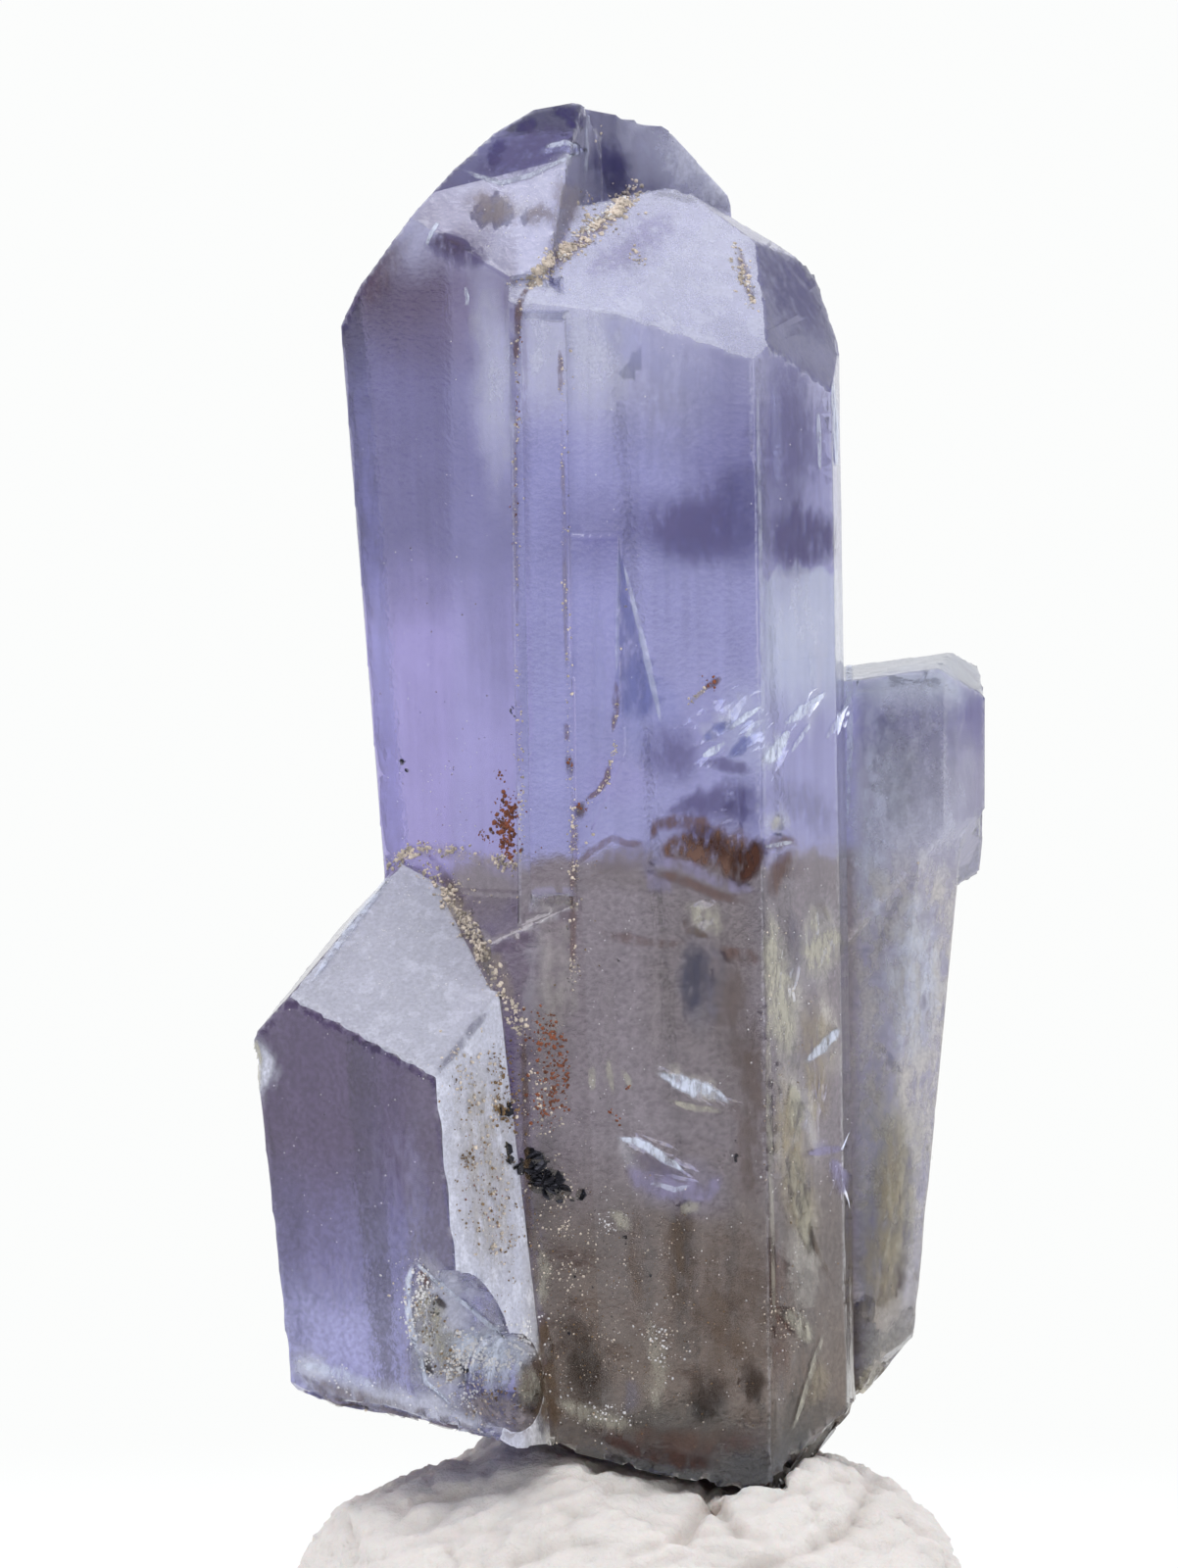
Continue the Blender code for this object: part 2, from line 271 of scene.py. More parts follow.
# Bundles of thin fractures inside: (pixel, depth below the surface, length, height, turn in the
# picture plane, number, spread in pixels)
FRACTURES = [
    ((740, 735), 0.25, 0.70, 0.16, 38, 8, 26),
    ((768, 745), 0.25, 0.55, 0.12, 42, 6, 16),
    ((728, 770), 0.25, 0.40, 0.12, 50, 4, 12),
    ((790, 766), 0.20, 0.55, 0.20, 56, 5, 9),
    ((818, 724), 0.20, 0.55, 0.12, 40, 5, 12),
    ((852, 736), 0.15, 0.45, 0.12, 62, 4, 10),
    ((740, 838), 0.30, 0.22, 0.10, 20, 5, 22),
    ((706, 1108), 0.20, 0.85, 0.22, -14, 4, 10),
    ((664, 1172), 0.20, 0.75, 0.16, -30, 5, 14),
    ((690, 1196), 0.25, 0.60, 0.14, -12, 4, 18),
    ((716, 938), 0.25, 0.34, 0.26, 20, 4, 12),
    ((836, 960), 0.20, 0.60, 0.18, 75, 6, 18),
    ((806, 1010), 0.20, 0.70, 0.16, 84, 5, 12),
    ((824, 1120), 0.20, 0.90, 0.12, 82, 6, 16),
    ((846, 1200), 0.15, 0.90, 0.10, 86, 5, 18),
]

# Coloured bodies, veils and stains that show at the surface, with painted highlights, a painted dark reflection
# and a painted contact shadow among them: (colour, strength, softness, path of (x, y, half width) in pixels).
# Later ones lie over earlier ones.
INCLUSIONS = [
    # The top of the back crystal: its dark blue lens is painted dark reflection, and its pale blue and ice streaks are
    # painted highlights
    ("indigo", 0.70, 0.6, [(500, 174, 4), (505, 157, 8), (518, 142, 6)]),
    ("indigo", 0.65, 0.6, [(526, 135, 4), (538, 128, 7), (550, 124, 3)]),
    ("indigo", 0.75, 0.6, [(562, 112, 4), (580, 117, 8), (597, 130, 6)]),
    ("grape", 0.60, 0.9, [(480, 178, 5), (516, 166, 16), (556, 148, 20), (596, 130, 12)]),
    ("periwinkle", 0.60, 0.6, [(550, 157, 2), (570, 150, 5), (588, 152, 5), (597, 158, 2)]),
    ("ice_veil_and_highlight", 0.65, 0.6, [(556, 151, 1), (575, 146, 3), (592, 150, 1)]),
    ("ice_veil_and_highlight", 0.50, 0.5, [(473, 174, 1), (490, 181, 2), (511, 187, 2), (540, 180, 2), (598, 152, 1)]),
    ("taupe_pale", 0.55, 0.9, [(466, 205, 6), (490, 208, 13), (515, 214, 12), (538, 228, 8)]),
    ("taupe", 0.45, 1.0, [(480, 222, 8), (502, 220, 14), (524, 216, 10)]),
    ("taupe_pale", 0.50, 0.8, [(560, 185, 6), (576, 198, 12), (584, 216, 10), (572, 236, 4)]),
    ("taupe", 0.60, 0.7, [(532, 226, 5), (552, 219, 10), (570, 222, 5)]),
    ("grape", 0.70, 0.6, [(432, 250, 4), (455, 250, 12), (478, 260, 13), (500, 268, 6)]),
    ("red_brown", 0.35, 0.8, [(436, 244, 3), (458, 250, 8), (480, 258, 6)]),
    # Painted highlights: white glints on the top of the back crystal
    ("ice_veil_and_highlight", 0.70, 0.4, [(448, 226, 1), (440, 238, 2), (436, 250, 1)]),
    ("ice_veil_and_highlight", 0.70, 0.4, [(476, 292, 1), (477, 302, 2), (477, 312, 1)]),
    ("brown", 0.22, 0.9, [(420, 240, 5), (390, 280, 12), (372, 320, 9)]),
    ("indigo", 0.45, 0.8, [(608, 140, 6), (618, 160, 15), (630, 182, 16), (642, 200, 5)]),
    ("ice_veil_and_highlight", 0.45, 0.5, [(600, 110, 1), (598, 150, 1.5), (596, 190, 1)]),
    ("brown", 0.50, 0.8, [(545, 288, 4), (572, 262, 6), (604, 238, 6), (640, 206, 5), (652, 190, 2)]),
    # The top of the front crystal
    ("lavender", 0.35, 0.9, [(588, 284, 4), (628, 264, 14), (668, 236, 16), (698, 212, 5)]),
    ("periwinkle", 0.25, 0.9, [(590, 325, 8), (640, 345, 22), (690, 378, 18), (760, 402, 6)]),
    ("indigo", 0.40, 0.9, [(760, 240, 6), (800, 275, 26), (828, 318, 30), (846, 360, 18)]),
    ("brown", 0.40, 0.8, [(752, 250, 2), (760, 282, 4), (769, 314, 2)]),
    ("periwinkle", 0.50, 0.7, [(789, 385, 2), (792, 440, 5), (793, 500, 3)]),
    ("ice_veil_and_highlight", 0.80, 0.4, [(849, 388, 1), (852, 430, 3), (853, 476, 1)]),
    ("ice_veil_and_highlight", 0.55, 0.4, [(834, 420, 1), (835, 446, 2), (836, 480, 1)]),
    ("grape", 0.50, 0.9, [(640, 535, 12), (690, 538, 26), (740, 532, 40), (780, 530, 42)]),
    ("grape", 0.60, 0.6, [(776, 540, 32), (800, 545, 32), (826, 550, 28), (862, 554, 20)]),
    ("grape", 0.35, 1.0, [(812, 350, 26), (816, 450, 40), (816, 540, 36)]),
    ("slate", 0.20, 1.0, [(610, 400, 24), (690, 420, 60), (755, 430, 34)]),
    # Seams between the crystals
    ("brown", 0.60, 0.6, [(540, 290, 2), (530, 310, 3), (527, 345, 3), (526, 372, 1)]),
    ("brown", 0.50, 0.6, [(571, 356, 1), (572, 380, 3), (571, 402, 1)]),
    ("taupe", 0.40, 0.8, [(526, 400, 1), (526, 520, 2), (528, 640, 1)]),
    ("taupe", 0.40, 0.8, [(573, 420, 1), (576, 560, 2), (578, 700, 1)]),
    ("brown", 0.70, 0.5, [(577, 738, 1), (578, 747, 3), (578, 756, 1)]),
    ("umber", 0.70, 0.9, [(580, 766, 2), (581, 777, 4), (582, 787, 3), (582, 795, 1)]),
    ("brown", 0.40, 0.8, [(583, 800, 1), (586, 850, 3), (585, 920, 3), (584, 1000, 2)]),
    ("ice_veil_and_highlight", 0.25, 0.6, [(631, 560, 1), (631, 620, 2), (629, 690, 1)]),
    ("brown", 0.60, 0.6, [(628, 694, 1), (629, 710, 3), (628, 726, 3), (625, 748, 1)]),
    ("brown", 0.60, 0.6, [(622, 778, 1), (619, 795, 3), (610, 808, 2), (597, 817, 2)]),
    ("umber", 0.75, 0.9, [(597, 817, 2), (592, 826, 6), (590, 838, 2)]),
    # The violet half of the front crystal
    ("cobalt", 0.50, 0.3, [(632, 560, 1), (636, 610, 5), (643, 660, 12), (650, 700, 18), (653, 738, 22)]),
    ("ice_veil_and_highlight", 0.40, 0.5, [(636, 575, 1), (650, 630, 2), (664, 690, 3), (675, 740, 1)]),
    ("periwinkle", 0.35, 0.9, [(609, 590, 3), (613, 680, 6), (611, 770, 4)]),
    ("grape", 0.40, 1.0, [(664, 736, 8), (680, 756, 20), (694, 782, 20), (716, 800, 8)]),
    ("grape", 0.60, 0.8, [(676, 830, 2), (700, 822, 8), (725, 818, 12), (750, 816, 17), (776, 816, 20)]),
    ("indigo", 0.40, 0.8, [(735, 820, 5), (756, 822, 14), (776, 824, 20)]),
    ("cobalt", 0.60, 0.6, [(716, 756, 2), (734, 744, 6), (752, 736, 2)]),
    ("cobalt", 0.60, 0.6, [(742, 774, 3), (757, 762, 6), (770, 750, 5)]),
    ("grape", 0.55, 0.6, [(712, 778, 2), (738, 780, 6), (768, 786, 6)]),
    # Painted highlights: the glints of the fractures
    ("ice_veil_and_highlight", 0.90, 0.5, [(744, 744, 1), (758, 733, 3), (776, 721, 1)]),
    ("ice_veil_and_highlight", 0.80, 0.5, [(716, 772, 1), (728, 766, 4), (740, 757, 1)]),
    ("ice_veil_and_highlight", 0.75, 0.5, [(760, 752, 1), (768, 744, 4), (776, 734, 1)]),
    ("ice_veil_and_highlight", 0.95, 0.5, [(780, 780, 2), (788, 770, 7), (797, 757, 5), (804, 745, 1)]),
    ("ice_veil_and_highlight", 0.85, 0.5, [(800, 739, 1), (815, 728, 5), (832, 715, 3), (842, 706, 1)]),
    ("ice_veil_and_highlight", 0.70, 0.5, [(842, 754, 1), (851, 742, 3), (862, 722, 2), (869, 704, 1)]),
    ("ice_veil_and_highlight", 0.55, 0.5, [(806, 768, 1), (818, 750, 2), (828, 736, 1)]),
    ("ice_veil_and_highlight", 0.40, 0.6, [(826, 660, 1), (828, 690, 2), (830, 704, 1)]),
    ("ice_veil_and_highlight", 0.60, 0.6, [(864, 590, 1), (866, 680, 3), (867, 770, 3), (864, 850, 1)]),
    ("slate", 0.30, 1.0, [(786, 796, 6), (812, 812, 18), (838, 838, 18), (852, 862, 8)]),
    ("straw", 0.60, 0.6, [(703, 717, 1), (714, 708, 2), (722, 701, 1)]),
    ("brown", 0.80, 0.6, [(718, 703, 1), (727, 698, 4), (736, 691, 1)]),
    # The iron stain
    ("taupe", 0.55, 0.7, [(600, 884, 6), (640, 876, 12), (672, 866, 12)]),
    ("brown", 0.80, 0.9, [(662, 862, 3), (670, 842, 5), (690, 838, 6), (716, 842, 7), (736, 856, 6)]),
    ("brown", 0.98, 0.5, [(672, 872, 6), (692, 864, 11), (714, 862, 17), (738, 870, 19), (780, 882, 23)]),
    ("red_brown", 0.85, 1.0, [(694, 854, 4), (716, 856, 8), (736, 866, 10), (756, 876, 10)]),
    ("red_brown", 0.99, 0.4, [(744, 872, 8), (756, 878, 19), (768, 882, 24), (779, 888, 18)]),
    ("brown", 0.60, 0.9, [(774, 866, 4), (790, 860, 6), (806, 857, 4), (816, 862, 2)]),
    ("brown", 0.60, 0.9, [(812, 864, 2), (803, 874, 7), (795, 888, 8), (789, 904, 6), (788, 922, 2)]),
    ("taupe", 0.40, 1.0, [(800, 880, 8), (826, 896, 12)]),
    ("ice_veil_and_highlight", 0.65, 0.5, [(779, 864, 1), (795, 861, 2), (808, 859, 1)]),
    ("cream_body_and_highlight", 0.55, 0.5, [(784, 843, 7), (800, 841, 8)]),
    ("lavender", 0.50, 0.8, [(660, 878, 3), (684, 880, 5), (706, 886, 6), (730, 898, 5), (754, 907, 5), (777, 908, 3)]),
    ("brown", 0.55, 0.9, [(660, 890, 2), (690, 895, 5), (706, 902, 4), (726, 911, 4), (750, 918, 4), (768, 921, 2)]),
    ("brown", 0.45, 0.6, [(590, 882, 2), (604, 868, 3), (625, 855, 3), (640, 861, 3), (660, 860, 2)]),
    ("brown", 0.35, 0.8, [(608, 951, 2), (640, 958, 5), (680, 964, 3), (702, 960, 2)]),
    ("brown", 0.55, 0.7, [(733, 967, 3), (752, 975, 7), (777, 980, 7)]),
    # The grey and brown half of the front crystal
    # Painted highlight: the pale glint of a fracture
    ("cream_body_and_highlight", 0.60, 0.9, [(694, 922, 3), (706, 928, 9), (722, 938, 13), (731, 949, 8), (734, 960, 2)]),
    ("umber", 0.55, 0.6, [(697, 934, 2), (703, 948, 5), (714, 953, 3), (724, 956, 1)]),
    ("ink", 0.75, 0.7, [(703, 958, 4), (710, 980, 12), (709, 1006, 12), (703, 1028, 7), (699, 1042, 2)]),
    ("slate", 0.45, 1.0, [(722, 956, 4), (730, 985, 10), (728, 1020, 6), (724, 1060, 3)]),
    ("umber", 0.30, 1.0, [(742, 960, 6), (750, 1020, 18), (754, 1100, 12)]),
    ("lavender", 0.35, 0.8, [(660, 880, 4), (668, 900, 8), (690, 910, 6)]),
    ("taupe_pale", 0.30, 0.9, [(620, 985, 4), (622, 1080, 7), (618, 1150, 4)]),
    ("taupe_pale", 0.35, 0.9, [(668, 975, 2), (670, 1040, 5), (666, 1085, 2)]),
    ("cream_body_and_highlight", 0.55, 0.7, [(603, 1085, 2), (604, 1098, 4), (604, 1114, 2)]),
    ("cream_body_and_highlight", 0.50, 0.7, [(620, 1078, 1), (622, 1096, 3), (626, 1118, 1)]),
    ("cream_body_and_highlight", 0.45, 0.7, [(634, 1090, 1), (640, 1100, 4), (644, 1112, 1)]),
    # Painted highlights: the glints of a fracture, in this row and the next
    ("ice_veil_and_highlight", 0.90, 0.5, [(670, 1094, 1), (688, 1102, 6), (710, 1110, 7), (734, 1118, 4), (744, 1126, 1)]),
    ("cream_body_and_highlight", 0.60, 0.7, [(680, 1122, 1), (705, 1130, 3), (740, 1134, 2)]),
    ("umber", 0.35, 1.0, [(766, 1020, 8), (768, 1110, 16), (766, 1180, 14), (764, 1250, 6)]),
    ("ice_veil_and_highlight", 0.85, 0.5, [(628, 1161, 1), (645, 1164, 3), (661, 1170, 4), (680, 1184, 4), (698, 1195, 1)]),
    ("lavender", 0.50, 0.6, [(640, 1184, 6), (652, 1202, 11), (690, 1216, 10), (722, 1216, 9), (738, 1198, 4)]),
    ("ice_veil_and_highlight", 0.50, 0.6, [(662, 1206, 1), (688, 1214, 3), (704, 1210, 1)]),
    ("grape", 0.35, 0.8, [(640, 1176, 4), (664, 1188, 8), (700, 1200, 6)]),
    ("cream_body_and_highlight", 0.45, 0.7, [(690, 1234, 3), (704, 1232, 6), (716, 1228, 3)]),
    ("cream_body_and_highlight", 0.50, 0.8, [(622, 1232, 2), (632, 1244, 7), (646, 1256, 4)]),
    ("umber", 0.50, 1.0, [(688, 1214, 5), (693, 1250, 14), (694, 1296, 12), (690, 1350, 5)]),
    ("umber", 0.38, 1.0, [(758, 1236, 18), (750, 1300, 40), (746, 1370, 44), (752, 1430, 28)]),
    ("soot", 0.75, 1.0, [(764, 1380, 3), (769, 1408, 10), (768, 1428, 8), (760, 1446, 3)]),
    ("soot", 0.55, 1.0, [(704, 1390, 5), (720, 1414, 18), (724, 1438, 16), (714, 1458, 5)]),
    ("soot", 0.50, 1.0, [(568, 1330, 6), (588, 1366, 20), (600, 1404, 22), (598, 1440, 10)]),
    # Painted contact shadow: brown along the foot, where the crystal meets the putty, in this row and the next
    ("brown", 0.45, 1.0, [(590, 1452, 6), (650, 1466, 10), (710, 1474, 12), (770, 1470, 10), (800, 1460, 5)]),
    ("red_brown", 0.65, 0.9, [(600, 1462, 3), (650, 1480, 6), (700, 1492, 7), (742, 1496, 5)]),
    ("umber", 0.30, 0.9, [(650, 1230, 3), (648, 1290, 8), (652, 1340, 4)]),
    ("cream_body_and_highlight", 0.30, 1.0, [(660, 1336, 2), (665, 1362, 6), (673, 1392, 9), (668, 1422, 8), (672, 1452, 3)]),
    ("cream_body_and_highlight", 0.50, 1.0, [(562, 1424, 4), (596, 1444, 8), (628, 1452, 7), (656, 1462, 3)]),
    ("slate", 0.40, 0.9, [(640, 1400, 4), (646, 1425, 8), (640, 1446, 5)]),
    ("cream_body_and_highlight", 0.40, 1.0, [(551, 1262, 2), (556, 1300, 6), (552, 1340, 4)]),
    # The right-hand faces, low down
    ("cream_body_and_highlight", 0.80, 0.9, [(822, 918, 4), (832, 934, 13), (838, 958, 18), (830, 984, 15), (820, 1004, 5)]),
    ("umber", 0.35, 0.9, [(834, 914, 3), (838, 932, 6), (836, 950, 2)]),
    ("cream_body_and_highlight", 0.80, 0.9, [(783, 925, 3), (787, 950, 7), (790, 990, 9), (796, 1030, 11), (800, 1062, 10), (794, 1092, 5)]),
    ("slate", 0.35, 0.9, [(803, 920, 2), (812, 958, 6), (809, 990, 6), (818, 1020, 2)]),
    ("straw", 0.60, 1.0, [(792, 1080, 5), (800, 1130, 10), (806, 1170, 13), (813, 1220, 15), (828, 1290, 6)]),
    ("straw", 0.55, 1.0, [(824, 1010, 5), (830, 1050, 14), (832, 1100, 12), (836, 1160, 6)]),
    ("cream_body_and_highlight", 0.65, 0.6, [(806, 1104, 2), (812, 1130, 8), (809, 1160, 5)]),
    ("cream_body_and_highlight", 0.55, 0.7, [(807, 1170, 4), (812, 1205, 8), (818, 1240, 7), (827, 1282, 2)]),
    ("ice_veil_and_highlight", 0.85, 0.5, [(820, 1084, 1), (834, 1072, 5), (850, 1056, 4), (856, 1048, 1)]),
    ("lavender", 0.60, 0.6, [(820, 1178, 1), (840, 1174, 4), (862, 1172, 2)]),
    ("lavender", 0.55, 0.7, [(846, 1180, 2), (855, 1196, 8), (858, 1222, 5)]),
    ("umber", 0.55, 0.5, [(823, 1248, 1), (832, 1275, 2), (847, 1306, 1)]),
    ("brown", 0.35, 0.9, [(786, 1230, 3), (792, 1300, 9), (796, 1380, 8), (800, 1440, 5)]),
    ("cream_body_and_highlight", 0.65, 0.8, [(788, 1337, 2), (806, 1342, 6), (819, 1357, 8), (827, 1375, 3)]),
    ("cream_body_and_highlight", 0.60, 0.6, [(839, 1360, 1), (829, 1390, 2), (819, 1425, 2), (807, 1460, 1)]),
    ("straw", 0.40, 0.9, [(832, 1380, 4), (836, 1410, 9), (822, 1440, 5)]),
    # Painted highlights along the edge between the front face and the right-hand face, in these two rows
    ("ice_veil_and_highlight", 0.25, 0.6, [(771, 382, 1), (775, 600, 1.5), (779, 850, 1)]),
    ("cream_body_and_highlight", 0.40, 0.7, [(780, 920, 1), (784, 1150, 2), (789, 1370, 1)]),
    # The side crystal
    ("straw", 0.35, 1.0, [(396, 882, 2), (420, 868, 4), (450, 868, 6), (480, 874, 5), (534, 886, 2)]),
    ("straw", 0.40, 1.0, [(430, 868, 3), (446, 892, 7), (464, 924, 8), (488, 962, 9), (514, 1004, 9), (531, 1046, 4)]),
    ("umber", 0.45, 0.8, [(440, 872, 2), (458, 898, 4), (474, 926, 2)]),
    ("umber", 0.60, 0.7, [(533, 1048, 2), (536, 1120, 3), (538, 1200, 3), (541, 1290, 2)]),
    ("ice_veil_and_highlight", 0.60, 0.5, [(402, 891, 1), (360, 945, 3), (317, 1004, 1)]),
    ("straw", 0.30, 1.0, [(492, 1060, 16), (490, 1160, 26), (500, 1260, 22), (510, 1330, 12)]),
    ("slate", 0.45, 0.7, [(444, 1097, 1), (468, 1068, 3), (488, 1042, 3), (502, 1029, 1)]),
    ("umber", 0.80, 0.8, [(552, 1336, 3), (556, 1376, 7), (558, 1420, 9), (561, 1472, 10)]),
    # The chip's pale bodies and ice streaks are painted sparkle over its frosted break
    ("cream_body_and_highlight", 0.70, 0.9, [(424, 1300, 2), (432, 1326, 9), (442, 1356, 13), (454, 1386, 14), (474, 1412, 9)]),
    ("ice_veil_and_highlight", 0.95, 1.0, [(446, 1362, 4), (466, 1374, 15), (500, 1384, 22), (530, 1388, 22), (548, 1392, 8)]),
    ("cream_body_and_highlight", 0.75, 0.9, [(530, 1392, 6), (543, 1410, 12), (538, 1440, 12)]),
    ("taupe_pale", 0.80, 0.9, [(460, 1434, 4), (486, 1434, 10), (514, 1442, 14), (554, 1462, 12)]),
    ("soot", 0.75, 0.6, [(443, 1322, 1), (449, 1329, 5), (454, 1335, 1)]),
    ("brown", 0.70, 0.7, [(432, 1292, 1), (434, 1304, 5), (438, 1314, 1)]),
    ("soot", 0.70, 0.6, [(437, 1384, 1), (435, 1394, 4), (440, 1404, 2)]),
    ("ice_veil_and_highlight", 0.85, 0.6, [(424, 1286, 1), (418, 1305, 3), (418, 1332, 3), (422, 1366, 2), (434, 1410, 2), (464, 1437, 1)]),
    ("ice_veil_and_highlight", 0.75, 0.5, [(424, 1286, 1), (445, 1307, 2), (461, 1319, 2), (493, 1346, 2), (517, 1366, 1)]),
    ("ice_veil_and_highlight", 0.55, 0.9, [(300, 1392, 2), (330, 1396, 5), (360, 1405, 6), (388, 1416, 3)]),
    ("taupe", 0.60, 0.8, [(308, 1402, 2), (350, 1420, 6), (400, 1437, 7), (450, 1452, 5), (500, 1464, 2)]),
    ("umber", 0.55, 0.7, [(304, 1398, 1), (340, 1428, 3), (390, 1445, 3), (450, 1459, 1)]),
    ("cream_body_and_highlight", 0.75, 0.6, [(263, 1060, 1), (264, 1080, 4), (264, 1100, 4), (265, 1116, 1)]),
    ("lavender", 0.25, 1.0, [(395, 1120, 10), (404, 1200, 26), (412, 1280, 12)]),
    ("lavender", 0.30, 0.9, [(300, 1290, 10), (350, 1310, 26), (400, 1320, 12)]),
    # The crystal at the back
    ("ice_veil_and_highlight", 0.40, 1.0, [(892, 690, 8), (898, 780, 20), (888, 880, 18), (890, 980, 16)]),
    ("slate", 0.25, 1.0, [(940, 680, 20), (945, 780, 34), (934, 860, 20)]),
    ("ice_veil_and_highlight", 0.45, 1.0, [(935, 890, 10), (930, 1000, 26), (922, 1100, 18)]),
    ("cream_body_and_highlight", 0.50, 1.0, [(895, 1060, 10), (904, 1150, 28), (908, 1250, 28), (890, 1340, 16)]),
    ("straw", 0.55, 1.0, [(915, 1130, 6), (908, 1230, 16), (890, 1320, 20), (874, 1372, 12)]),
]

# How far apart the cross-sections of an inclusion are, in pixels, and where its points lie across it
INCLUSION_STEP = 4
INCLUSION_ACROSS = (-1.0, -0.8, -0.6, -0.4, -0.2, 0.0, 0.2, 0.4, 0.6, 0.8, 1.0)

# A face of an inclusion longer than this has slipped off an edge and is left out, in millimetres
INCLUSION_REACH = 0.6

# A face of an inclusion that covers less than this is left out
INCLUSION_LEAST = 0.03

# A grain lands on an inclusion that is this near to the crystal behind it, in millimetres
ON_SURFACE = 0.3

# Dust in the grooves and on the faces: (path of pixels, spread in pixels, number of crumbs, crumb size)
DUST_PATHS = [
    ([(542, 290), (565, 264), (600, 238), (628, 216), (650, 192)], 9, 760, 0.046),
    ([(542, 290), (565, 264), (600, 238), (628, 216), (650, 192)], 16, 420, 0.026),
    ([(598, 200), (604, 225), (612, 240)], 10, 120, 0.036),
    ([(750, 250), (758, 280), (768, 312)], 9, 240, 0.034),
    ([(648, 255), (652, 268)], 7, 60, 0.030),
    ([(438, 884), (462, 925), (486, 962), (512, 1005), (533, 1050)], 10, 900, 0.034),
    ([(395, 880), (430, 864), (480, 872), (533, 884)], 8, 520, 0.032),
    ([(438, 884), (470, 900), (480, 930)], 14, 120, 0.024),
    ([(470, 1060), (500, 1150), (505, 1280)], 26, 420, 0.030),
    ([(530, 300), (526, 500), (530, 760), (534, 880)], 4, 300, 0.020),
    ([(573, 360), (576, 560), (582, 800)], 4, 200, 0.018),
    ([(584, 800), (586, 900), (584, 1010)], 5, 260, 0.022),
    ([(629, 700), (628, 760), (618, 800), (594, 826)], 3, 110, 0.020),
    ([(700, 718), (724, 700)], 3, 24, 0.022),
    ([(545, 1060), (560, 1180), (590, 1320)], 24, 420, 0.022),
    ([(640, 1250), (650, 1330), (690, 1400)], 50, 120, 0.016),
    ([(780, 1330), (825, 1370)], 24, 90, 0.020),
    ([(430, 1310), (446, 1370), (470, 1420), (530, 1430)], 30, 500, 0.024),
    ([(560, 1230), (575, 1330), (600, 1440)], 60, 420, 0.017),
    ([(650, 1200), (660, 1320), (650, 1450)], 70, 240, 0.014),
    ([(790, 860), (800, 1000), (800, 1200)], 26, 120, 0.016),
]
WHITE_PATHS = [
    ([(540, 294), (576, 260), (614, 221), (650, 188)], 7, 240, 0.030),
    ([(750, 250), (760, 282), (768, 312)], 4, 60, 0.026),
    ([(350, 1000), (400, 940), (430, 1050)], 60, 1500, 0.010),
    ([(395, 900), (430, 960), (480, 1020)], 30, 500, 0.012),
    ([(470, 1060), (495, 1180), (505, 1300)], 36, 300, 0.012),
    ([(300, 1100), (340, 1300)], 70, 70, 0.011),
    ([(400, 1120), (420, 1300)], 30, 60, 0.011),
    ([(440, 380), (430, 700)], 70, 90, 0.010),
    ([(430, 780), (480, 840)], 70, 120, 0.011),
    ([(600, 380), (620, 840)], 60, 60, 0.010),
    ([(790, 420), (800, 600)], 30, 30, 0.013),
    ([(700, 330), (740, 250)], 60, 160, 0.009),
    ([(520, 215), (560, 230)], 44, 160, 0.012),
    ([(600, 920), (640, 1150)], 60, 200, 0.009),
    ([(610, 1180), (640, 1430)], 60, 260, 0.009),
    ([(700, 1200), (730, 1430)], 70, 140, 0.008),
    ([(800, 900), (810, 1180), (800, 1400)], 50, 420, 0.012),
    ([(656, 1344), (688, 1392)], 20, 130, 0.020),
    ([(575, 1425), (640, 1440)], 22, 130, 0.020),
    ([(616, 1236), (622, 1255)], 10, 40, 0.018),
    ([(462, 1380), (510, 1384), (548, 1360)], 22, 900, 0.030),
    ([(426, 1300), (430, 1350), (445, 1400), (480, 1430)], 20, 900, 0.024),
    ([(310, 1400), (420, 1430), (500, 1450)], 14, 200, 0.016),
]
EARTH_PATHS = [
    ([(508, 1060), (516, 1100), (520, 1150)], 16, 300, 0.026),
    ([(470, 1090), (480, 1160), (482, 1260)], 26, 170, 0.022),
    ([(500, 1170), (512, 1250), (520, 1330)], 24, 170, 0.020),
    ([(474, 1176), (478, 1190)], 8, 40, 0.030),
    ([(508, 1128), (512, 1136)], 5, 40, 0.036),
    ([(432, 1310), (440, 1360), (462, 1410)], 18, 150, 0.024),
    ([(480, 1424), (540, 1430)], 22, 130, 0.022),
    ([(560, 1220), (580, 1320), (590, 1430)], 60, 260, 0.015),
    ([(650, 1230), (680, 1320), (690, 1440)], 100, 260, 0.013),
    ([(800, 1060), (806, 1200), (812, 1380)], 30, 160, 0.014),
    ([(620, 800), (600, 880), (590, 1000)], 30, 50, 0.014),
    ([(450, 600), (470, 840)], 60, 60, 0.013),
]
RUST_PATHS = [
    ([(522, 815), (515, 845), (520, 872)], 10, 300, 0.040),
    ([(522, 815), (515, 845), (520, 872)], 20, 70, 0.020),
    ([(508, 785), (512, 798)], 6, 26, 0.028),
    ([(490, 850), (500, 858)], 7, 24, 0.030),
    ([(552, 1036), (566, 1085), (560, 1140)], 18, 330, 0.032),
    ([(575, 1075), (578, 1120)], 6, 30, 0.028),
    ([(622, 1136), (628, 1142)], 6, 12, 0.026),
    ([(641, 1106), (643, 1110)], 3, 5, 0.022),
    ([(718, 698), (730, 697)], 6, 14, 0.028),
    ([(590, 824), (596, 828)], 6, 14, 0.030),
    ([(581, 774), (582, 780)], 4, 8, 0.026),
    ([(480, 1150), (505, 1260)], 18, 70, 0.018),
    ([(440, 860), (470, 820)], 40, 26, 0.014),
    ([(530, 340), (524, 560)], 3, 40, 0.016),
]
